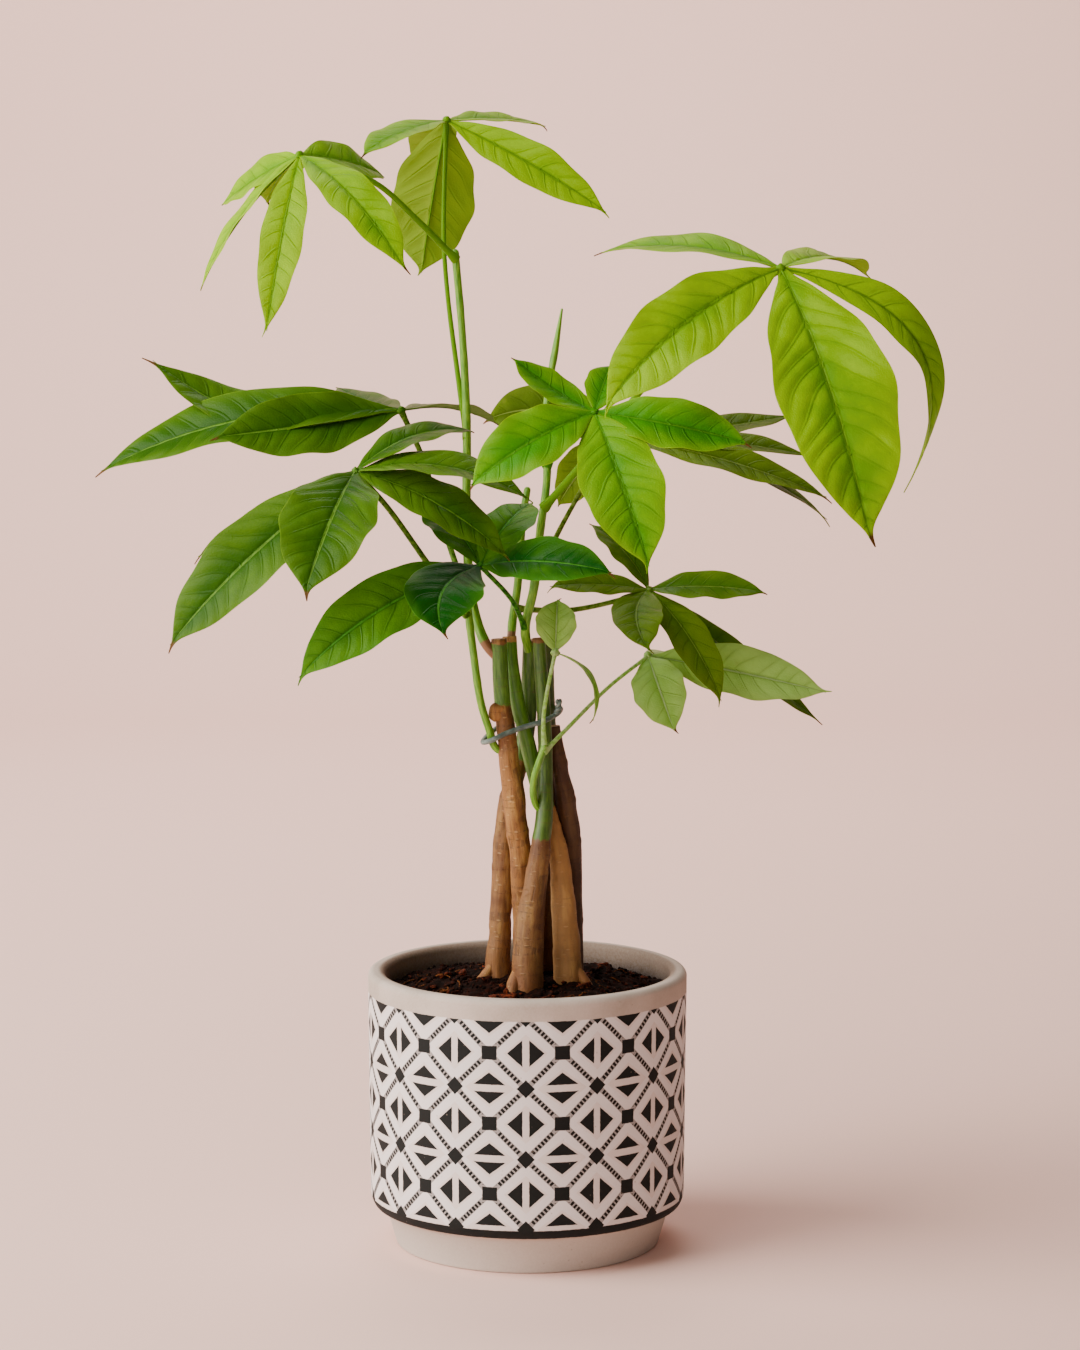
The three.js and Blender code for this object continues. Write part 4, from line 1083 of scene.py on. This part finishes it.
LEAVES = {
    "leaf_top_left": {
        "finish": "young",
        "petiole": [[-32.6, 0, 461], [-50, -12, 479], [-69, -22, 496], [-102, -35, 508]],
        "petiole_radius": 1.3,
        "leaflets": [
            leaflet_to([-13, -40, -80], 19, face=[0, -1, 0.5], tone=0),
            leaflet_to([50, -50, -52], 25, face=[0, -0.6, 1], tone=0.5),
            leaflet_to([-44, -15, -60], 22, arch=0.06),
            leaflet_to([-38, 26, -23], 24, face=[0, -0.8, 1], arch=0.03),
            leaflet_to([-20, 62, -22], 24, face=[0, -0.2, 1], arch=0.05),
            leaflet_to([37, 50, -10], 24, face=[0, -1, 0.9], bow=[2, -2, 2]),
        ],
    },
    "leaf_top_back": {
        "finish": "young",
        "petiole": [[-28, 5, 378], [-32, 17, 405], [-37, 25, 443], [-39, 31, 470], [-38, 45, 525]],
        "petiole_radius": 1.1,
        "leaflets": [
            leaflet_to([48, 45, -2], 20, face=[0, -0.3, 1], arch=0.03),
            leaflet_to([77, -15, -44], 25, face=[0.3, -1, 0.8], arch=0.03, tone=0),
            leaflet_to([-12, -5, -73], 39, face=[-0.1, 1, 0.1]),
            leaflet_to([-38, -50, -17], 24, face=[0, -0.3, 1], arch=0.04),
            leaflet_to([-14, 52, -22], 22, arch=0.05),
        ],
    },
    "leaf_right": {
        "finish": "young",
        "petiole": [[7.5, -7, 347], [22, -12, 364], [48, -30, 398], [82, -50, 436], [113, -55, 458]],
        "petiole_radius": 1.5,
        "leaflets": [
            leaflet_to([-82, 35, 6], 27, face=[0, -0.25, 1], arch=0.07, tone=0.9),
            leaflet_to([44, 60, -5], 28, face=[0, -0.35, 1]),
            leaflet_to([-81, -55, -62], 35, face=[0.1, -0.9, 0.6], bow=[-5, -8, 6], tone=0),
            leaflet_to([37, -55, -120], 52, face=[0.2, -1, 0.4], tone=0.5),
            leaflet_to([56, -5, -100], 26, face=[0.6, -1, 0.7], bow=[34, 4, 15], twist=-70, tone=-0.6),
        ],
    },
    "leaf_centre": {
        "finish": "bright",
        "petiole": [[9, -3, 366], [17, -22, 380], [25, -50, 390], [30, -75, 395]],
        "petiole_radius": 1.3,
        "leaflets": [
            leaflet_to([-37, 15, 24], 20, face=[0.3, -0.8, 1], arch=-0.05),
            leaflet_to([8, 22, 20], 17, face=[0, -0.9, 0.6]),
            leaflet_to([-56, -20, -32], 30, face=[0, -0.9, 0.7], tone=0.7),
            leaflet_to([24, -40, -67], 36, face=[0, -1, 0.5], tone=0.1),
            leaflet_to([69, -20, -13], 27, face=[0, -1, 0.8], arch=0.03, tone=0.8),
        ],
    },
    "leaf_far_left": {
        "finish": "olive",
        "petiole": [[-27.8, -12, 304], [-33, 0, 320], [-40, 7, 340], [-48, 6, 368], [-58, -5, 392]],
        "petiole_radius": 1.3,
        "leaflets": [
            leaflet_to([-120, 25, 25], 33, face=[0, -0.6, 1], bow=[0, 0, -19]),
            leaflet_to([-86, -25, -11], 34, face=[0, -1, 0.8], arch=-0.02, tone=0.9),
            leaflet_to([-144, 15, -31], 34, face=[0, -0.7, 1], arch=0.09, tone=1),
            leaflet_to([-34, 65, 8], 21, face=[0, -0.3, 1], arch=-0.03),
            leaflet_to([44, 60, -10], 20, arch=0.06),
        ],
    },
    "leaf_left": {
        "finish": "olive",
        "petiole": [[-27.5, -12.4, 298], [-42, -22, 318], [-63, -40, 350], [-77, -50, 367]],
        "petiole_radius": 1.3,
        "leaflets": [
            leaflet_to([-83, -35, -77], 35, face=[-0.3, -1, 0.6], bow=[-4, -6, 2], tone=0.55),
            leaflet_to([-20, -65, -51], 42, face=[0, -0.9, 0.6], tone=0.8),
            leaflet_to([80, -10, -13], 26, face=[0, -0.4, 1], arch=0.12),
            leaflet_to([54, 30, 16], 22, face=[0, -0.3, 1], arch=0.12),
            leaflet_to([70, -20, -38], 30, face=[0, -0.6, 1]),
            leaflet_to([-76, 32, -43], 26, face=[0, -0.2, 1], arch=0.05),
        ],
    },
    "leaf_low_left": {
        "finish": "deep",
        "petiole": [[-1, -4, 291], [-7, -22, 306], [-21, -45, 324]],
        "petiole_radius": 1.1,
        "leaflets": [
            leaflet_to([-83, -25, -50], 32, face=[-0.2, -1, 0.7], bow=[-4, -3, 6], tone=0),
            leaflet_to([-15, -55, -26], 35, face=[0, -0.9, 0.7], bow=[-9, -3, 4], tone=1.7),
            leaflet_to([61, -35, 0], 26, face=[0, -1, 0.8], arch=0.08, tone=1),
            leaflet_to([-25, 36, 24], 28, face=[0, -0.3, 1]),
            leaflet_to([24, 35, 26], 26, face=[0, -0.3, 1]),
        ],
    },
    "leaf_low_right": {
        "finish": "shaded",
        "petiole": [[-5.9, 8, 299], [18, 18, 297], [42, 24, 301], [57, 25, 306]],
        "petiole_radius": 1.2,
        "leaflets": [
            leaflet_to([-1, -55, -23], 24, face=[0, -0.6, 1], bow=[-6, 0, 2], tone=0.2),
            leaflet_to([-48, -15, 3], 18, face=[0, -0.6, 1], arch=0.04),
            leaflet_to([-28, 15, 30], 21, face=[0.4, -0.4, 1]),
            leaflet_to([56, -5, -1], 22, face=[0, -0.7, 1], arch=0.05, tone=0.9),
            leaflet_to([34, -30, -51], 22, face=[0.3, -0.7, 0.8], tone=0),
            leaflet_to([87, 60, -72], 19, face=[0.5, -0.8, 0.9], arch=0),
        ],
    },
    "leaf_lowest_right": {
        "finish": "pale",
        "petiole": [[7.6, -19, 235], [17, -14, 244], [38, 8, 262], [57, 30, 274]],
        "petiole_radius": 0.9,
        "leaflets": [
            leaflet_to([87, 0, -18], 28, face=[0, -1, 0.8], arch=0.02, tone=-0.3),
            leaflet_to([12, -30, -33], 25, face=[-0.2, -1, 0.6]),
            leaflet_to([22, 50, -8], 18, arch=0.04),
        ],
    },
    "leaf_bud": {
        "finish": "pale",
        "petiole": [[8, -19, 236.5], [7.5, -18.6, 250], [9, -18, 262], [13, -15, 281]],
        "petiole_radius": 0.9,
        "leaflets": [
            leaflet_to([1, 12, 24], 19, face=[0, -1, 0.4]),
            leaflet_to([17, -10, -32], 9, face=[1, -0.2, 0.6], arch=0.24),
        ],
    },
    "leaf_back_right": {
        "finish": "dusky",
        "petiole": [[3.4, -8, 313], [14, 5, 334], [26, 26, 354], [40, 55, 376]],
        "petiole_radius": 1.1,
        "leaflets": [
            leaflet_to([92, 50, 8], 25, face=[0, -0.4, 1], arch=-0.02),
            leaflet_to([98, 5, -10], 24, face=[0, -0.4, 1], arch=0.03),
            leaflet_to([104, -25, -28], 24, face=[0, -0.4, 1], arch=0.04),
            leaflet_to([108, 30, -44], 24, face=[0, -0.3, 1], arch=0.08),
            leaflet_to([-62, 20, 6], 30, face=[0, -1, 0.45], bow=[0, 0, 9]),
            leaflet_to([-26, 5, -34], 22, face=[0, -0.8, 0.6]),
        ],
    },
}

outline_curve = curve_points([[share, fraction, 0] for share, fraction in BLADE_OUTLINE], 240)


def unit(vector):
    return np.asarray(vector, float) / np.linalg.norm(vector)


def midrib(hub, leaflet, share):
    """Points along a leaflet's midrib, with its upward and sideways directions there."""
    reach = np.array(leaflet["reach"], float)
    chord, face = unit(reach), unit(leaflet.get("face", UP))
    rise = unit(face - face.dot(chord) * chord)
    arch = leaflet.get("arch", BLADE_ARCH) * np.linalg.norm(reach)
    bow = np.array(leaflet.get("bow", rise * arch), float)
    share = share[:, None]
    point = hub + reach * share + bow * 4 * share * (1 - share)
    tangent = reach + bow * (4 - 8 * share)
    tangent /= np.linalg.norm(tangent, axis=1)[:, None]
    normal = rise - (tangent @ rise)[:, None] * tangent
    normal /= np.linalg.norm(normal, axis=1)[:, None]
    turn = math.radians(leaflet.get("twist", 0)) * share ** 2
    normal = normal * np.cos(turn) + np.cross(tangent, normal) * np.sin(turn)
    return point, normal, np.cross(tangent, normal)


def blade(hub, leaflet, draw):
    """One leaflet's thin blade, the same on both faces, quilted between its slanting side veins."""
    length = float(np.linalg.norm(leaflet["reach"]))
    width = leaflet["width"]
    stations = max(FEWEST_STATIONS, int(length * STATIONS_PER_MM))
    columns = 2 * max(FEWEST_COLUMNS, int(width * COLUMNS_PER_MM)) + 1
    share = np.linspace(0, 1, stations)
    place = np.linspace(-1, 1, columns)[None, :]
    point, normal, side = midrib(hub, leaflet, share)
    half = (np.interp(share, outline_curve[:, 0], outline_curve[:, 1]) * width / 2)[:, None]
    share = share[:, None]
    off = np.abs(place)
    pairs = np.clip(length / VEIN_SPACING, *VEIN_PAIRS)
    phase = share * pairs - (VEIN_SLANT * off + VEIN_CURL * off ** 2) * half / length * pairs
    phase = phase + VEIN_WANDER * np.sin(share * pairs * 1.7 + 9 * length + 2 * np.sign(place))
    open_part = np.clip(off / 0.12, 0, 1) * (1 - off ** 5) * np.clip(share / 0.2, 0, 1)
    open_part = open_part * np.clip((1 - share) / 0.15, 0, 1)
    quilt = QUILT_SHARE * width / 30 * length / pairs
    bulge = quilt * (np.abs(np.sin(math.pi * phase)) ** 0.7 - 0.55) * open_part
    swing = np.where(place < 0, *draw.uniform(0, 1, 2))
    waves = draw.uniform(*WAVE_COUNT)
    wave = BLADE_WAVE * off ** 2 * np.sin(2 * math.pi * (share * waves + swing)) * half
    lift = BLADE_FOLD * off ** 0.62 * half + wave + bulge
    lean = draw.uniform(-BLADE_LEAN, BLADE_LEAN) * np.sin(math.pi * share)
    lift = lift + lean * place * half
    uneven = 1 + draw.uniform(-SIDE_DIFFERENCE, SIDE_DIFFERENCE) * np.sign(place)
    across = place * half * uneven * (1 + 0.03 * np.sin(2 * math.pi * (share * 4 + swing)))
    tail = np.clip((share - TAIL_START) / (1 - TAIL_START), 0, 1) ** 2
    across = across + draw.uniform(-1, 1) * TAIL_HOOK * tail
    lift = lift - draw.uniform(0, 1) * TAIL_HOOK * tail
    middle = point[:, None] + side[:, None] * across[..., None] + normal[:, None] * lift[..., None]
    thick = (BLADE_THICKNESS / 2 * (1 - 0.85 * off ** 8))[..., None] * normal[:, None]
    sheets = [middle + thick, (middle - thick)[:, ::-1]]
    points = np.concatenate(sheets, axis=1)
    faces = grid_faces(stations, 2 * columns, closed=True)[:, ::-1].tolist()
    faces.append(list(range(2 * columns)))
    last = (stations - 1) * 2 * columns
    faces.append(list(range(last + 2 * columns - 1, last - 1, -1)))
    flat = np.broadcast_to(place, (stations, columns))
    both = [np.concatenate([values, values[:, ::-1]], axis=1)
            for values in (np.broadcast_to(share, flat.shape), flat, np.broadcast_to(phase, flat.shape))]
    under = np.concatenate([np.zeros((stations, columns)), np.ones((stations, columns))], axis=1)
    marks = {
        "blade": np.stack(both, axis=-1).reshape(-1, 3),
        "under": under.ravel(),
        "stalk": np.zeros(points.shape[0] * points.shape[1]),
        "tone": np.full(points.shape[0] * points.shape[1], leaflet.get("tone", draw.uniform(0, 1))),
    }
    return points.reshape(-1, 3), faces, marks


def stalk_marks(count):
    return {"blade": np.zeros((count, 3)), "under": np.zeros(count),
            "stalk": np.ones(count), "tone": np.full(count, 0.5)}


def stalk_body(line, radii, sides, steps, relief=None):
    points, faces, _, _ = tube(line, radii, sides, steps, relief=relief)
    return points, faces, stalk_marks(len(points))


def rib_body(hub, leaflet):
    """The midrib stands out under the blade and thins towards the tip."""
    share = np.linspace(0, MIDRIB_END, MIDRIB_POINTS)
    point, normal, _ = midrib(hub, leaflet, share)
    size = MIDRIB_ROOT * min(1, leaflet["width"] / MIDRIB_FULL_WIDTH)
    radii = size + (MIDRIB_TIP - size) * share ** 0.6
    line = point - normal * (radii * 0.55 * np.clip(share / 0.12, 0, 1))[:, None]
    return stalk_body(line, radii, MIDRIB_SIDES, MIDRIB_STEPS)


def petiole_relief(turn, along, radius, share):
    """Swollen at both ends, as a leaf stalk is."""
    ends = math.exp(-(along / 4) ** 2) * 0.5 + math.exp(-((1 - share) / 0.035) ** 2) * 0.35
    return radius * ends + 0.04 * np.cos(3 * turn)


def leaf_surface():
    """The group for a leaflet's colour, gloss and relief, from its veins outwards."""
    group = bpy.data.node_groups.new("leaf_surface", "ShaderNodeTree")
    for name in LEAF_COLOURS:
        group.interface.new_socket(name, in_out="INPUT", socket_type="NodeSocketColor")
    group.interface.new_socket("Colour", in_out="OUTPUT", socket_type="NodeSocketColor")
    group.interface.new_socket("Roughness", in_out="OUTPUT", socket_type="NodeSocketFloat")
    group.interface.new_socket("Height", in_out="OUTPUT", socket_type="NodeSocketFloat")
    given = add_node(group, "NodeGroupInput", {}).outputs
    greens = [Shade(given[name]) for name in LEAF_COLOURS]
    light, deep, vein_and_shade_green, rib_green, margin_green, underside = greens
    under, stalk, tone = (read_mark(group, name) for name in ("under", "stalk", "tone"))
    blade_place = add_node(group, "ShaderNodeSeparateXYZ", {0: read_mark(group, "blade", "Vector")})
    share, place, phase = (Shade(part) for part in blade_place.outputs)
    where = object_place(group)

    off = abs(place)
    beat = abs(phase.fraction() - 0.5)
    vein = fade(beat, 0.41, 0.49) * fade(off, 0.95, 0.5)
    rib = fade(off, 0.045, 0.015)
    cloud = noise(where, 38.0, 4.0)
    fine = noise(where, 500.0, 3.0)
    cells = made(group, "ShaderNodeTexVoronoi", {"Vector": where, "Scale": 1300.0})

    depth = fade(cloud, 0.3, 0.72) + (tone - 0.5) + fade(off, 0.55, 0.0) * 0.5
    margin = most(fade(off + cloud, 1.0, 1.6) * 0.4, fade(off, 0.96, 0.99))
    colour = layered(blend(fade(depth, -0.3, 1.5), light, deep), [
        (fade(fine, 0.4, 0.7), 0.12, deep),
        (margin, 1.0, margin_green),
        # Darker along the veins: the veins' own green, and a broad painted shade in the quilted grooves
        # beside them
        (most(vein, fade(beat, 0.2, 0.5) * 0.4), 0.36, vein_and_shade_green),
        (fade(off, 0.13, 0.04), 0.5, vein_and_shade_green),
        (rib, 0.8, rib_green),
        (spots(where, 90.0, (0.16, 0.05), (0.93, 0.95)), 0.55, margin_green),
    ])
    pale = layered(underside, [(most(vein, rib), 0.35, rib_green), (cloud, 0.4, deep)])
    dry = fade(share + (cloud - 0.5) * 0.06, 0.945, 0.97) * fade(tone, 0.1, 0.4)
    skin = blend(fade(fine, 0.3, 0.7), rib_green, deep)
    colour = blend(stalk, blend(dry, blend(under, colour, pale), DRY_TIP), skin)

    dull = under * 0.4 + 0.22 + most(fine, dry) * 0.18
    height = (cells * 0.35 - vein - rib) * (1.0 - under * 1.8) * (1.0 - stalk)
    add_node(group, "NodeGroupOutput", {"Colour": colour, "Roughness": dull, "Height": height})
    return group


leaf_group = leaf_surface()


def leaf_material(name, see_through, shine, *colours):
    """Leaf skin that shines a little and lets some light through."""
    material, tree, shader = new_material(name)
    shader.inputs["Specular IOR Level"].default_value = shine
    surface = tree.nodes.new("ShaderNodeGroup")
    surface.node_tree = leaf_group
    for socket, colour in zip(LEAF_COLOURS, colours):
        surface.inputs[socket].default_value = paint(colour)
    colour, roughness, height = (Shade(part) for part in surface.outputs)
    bump = cover(shader, colour, roughness, height, 0.5, 0.0005)
    sunlit = blend(0.8, colour, LEAF_GLOW, "MULTIPLY")
    glow = made(tree, "ShaderNodeBsdfTranslucent", {"Color": sunlit, "Normal": bump})
    skin = {0: see_through, 1: Shade(shader.outputs[0]), 2: glow}
    mixed = made(tree, "ShaderNodeMixShader", skin)
    tree.links.new(mixed.socket, tree.nodes["Material Output"].inputs["Surface"])
    return material


# Of each finish: the share of light let through, the shine, and the six leaf colours
LEAF_FINISHES = {
    "young": (0.42, 0.08, 0xACDA00, 0x70AA00, 0x5A9600, 0x78AA10, 0xB0D40C, 0xA6BC34),
    "bright": (0.35, 0.08, 0x78B200, 0x3C8C00, 0x307400, 0x52920A, 0x9CC414, 0x84A83C),
    "pale": (0.4, 0.14, 0xC6EA80, 0x98C852, 0x86B246, 0xCCE0A0, 0xB8D470, 0xA4C478),
    "olive": (0.28, 0.1, 0x567E0C, 0x2E5A04, 0x245002, 0x6E9A30, 0x6A9016, 0x6E8E3C),
    "shaded": (0.25, 0.1, 0x74941A, 0x4A760A, 0x426808, 0x88A648, 0x7C9826, 0x7E9A3E),
    "dusky": (0.24, 0.03, 0x6C8810, 0x48620A, 0x40560C, 0x849840, 0x768A22, 0x708430),
    "deep": (0.22, 0.1, 0x568E08, 0x0C5000, 0x0E4A00, 0x4C9826, 0x549418, 0x5E8A38),
}
leaf_skins = {name: leaf_material(name + "_leaf_skin", *finish) for name, finish in LEAF_FINISHES.items()}
for seed, (name, leaf) in enumerate(LEAVES.items(), start=101):
    draw = np.random.default_rng(seed)
    hub = np.array(leaf["petiole"][-1], float)
    size = leaf["petiole_radius"]
    radii = [size * PETIOLE_FOOT, size, size]
    bodies = [stalk_body(leaf["petiole"], radii, PETIOLE_SIDES, PETIOLE_STEPS, petiole_relief)]
    knob, faces = lump(np.full(3, 2 * HUB_RADIUS), seed, rows=9, columns=16, boxy=1.0)
    bodies.append((knob + hub, faces, stalk_marks(len(knob))))
    for leaflet in leaf["leaflets"]:
        bodies.append(blade(hub, leaflet, draw))
        bodies.append(rib_body(hub, leaflet))
    piece = make_piece(name.replace("leaf", "foliage"), *joined(bodies), leaf_skins[leaf["finish"]])
    piece.data.set_sharp_from_angle(angle=BLADE_EDGE_ANGLE)
    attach(piece, "root")
    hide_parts(name)

# Floor, light and camera
# A pale warm sweep stands for the shelf and the wall behind it. Soft window light comes from the
# left, with a glow from the ceiling, a low fill and a wash of light on the wall.

SWEEP_ROSE = paint(0xF3CDC0)
SWEEP_WARM = paint(0xF0C8BA)
SWEEP_FRONT = -4.0
SWEEP_BACK = 2.6
SWEEP_LEFT = -3.5
SWEEP_RIGHT = 2.2
SWEEP_RADIUS = 0.8
SWEEP_TOP = 3.2

sweep_line = [(SWEEP_FRONT, 0.0), (SWEEP_BACK - SWEEP_RADIUS, 0.0)]
for turn in np.linspace(0, math.pi / 2, 16)[1:]:
    sweep_line.append((SWEEP_BACK - SWEEP_RADIUS + SWEEP_RADIUS * math.sin(turn),
                       SWEEP_RADIUS * (1 - math.cos(turn))))
sweep_line.append((SWEEP_BACK, SWEEP_TOP))
sweep_points = [(x / MM, y / MM, z / MM) for y, z in sweep_line
                for x in (SWEEP_LEFT, SWEEP_RIGHT)]
sweep_material, sweep_tree, sweep_shader = new_material("pale_sweep")
sweep_colour = blend(noise(object_place(sweep_tree), 1.5, 2.0), SWEEP_ROSE, SWEEP_WARM)
sweep_tree.links.new(sweep_colour.socket, sweep_shader.inputs["Base Color"])
sweep_shader.inputs["Roughness"].default_value = 0.8
sweep = make_piece("floor_sweep", sweep_points, grid_faces(len(sweep_line), 2), {}, sweep_material)

ROOM_WHITE = paint(0xFFF3EA)
ROOM_STRENGTH = 0.12
world = bpy.data.worlds.new("room_light")
bpy.context.scene.world = world
world.use_nodes = True
background = world.node_tree.nodes["Background"]
background.inputs["Color"].default_value = ROOM_WHITE
background.inputs["Strength"].default_value = ROOM_STRENGTH

AIM = (0.0, 0.0, 0.28)
# Of each light: its place, what it faces, its width, its power and its colour
LIGHTS = {
    "window_key": ((-1.75, -0.5, 1.15), AIM, 2.2, 96.0, (1.0, 0.96, 0.9)),
    "ceiling_soft": ((-0.8, -0.6, 1.8), (-0.4, -0.2, 0.0), 1.2, 19.0, (1.0, 0.97, 0.92)),
    "low_fill": ((-0.7, -1.7, 0.4), (0.1, 0.0, 0.0), 1.3, 9.5, (1.0, 0.95, 0.9)),
    "wall_wash": ((-0.1, 1.3, 1.9), (-0.15, 2.6, 0.3), 1.4, 46.0, (1.0, 0.95, 0.92)),
}
for name, (spot, aim, size, power, colour) in LIGHTS.items():
    light = bpy.data.lights.new(name, "AREA")
    light.shape = "DISK"
    light.size = size
    light.energy = power
    light.color = colour
    lamp = bpy.data.objects.new(name, light)
    lamp.location = spot
    lamp.rotation_mode = "QUATERNION"
    lamp.rotation_quaternion = (Vector(aim) - Vector(spot)).to_track_quat("-Z", "Y")
    bpy.context.scene.collection.objects.link(lamp)

CAMERA_PLACE = (0.0059, -1.777, 0.4896)
CAMERA_PITCH_DEG = 7.086
CAMERA_LENS = 102.6
camera_data = bpy.data.cameras.new("photo_view")
camera_data.lens = CAMERA_LENS
camera = bpy.data.objects.new("photo_view", camera_data)
camera.location = CAMERA_PLACE
camera.rotation_euler = (math.radians(90 - CAMERA_PITCH_DEG), 0, 0)
bpy.context.scene.collection.objects.link(camera)
bpy.context.scene.camera = camera

bpy.context.view_layer.update()
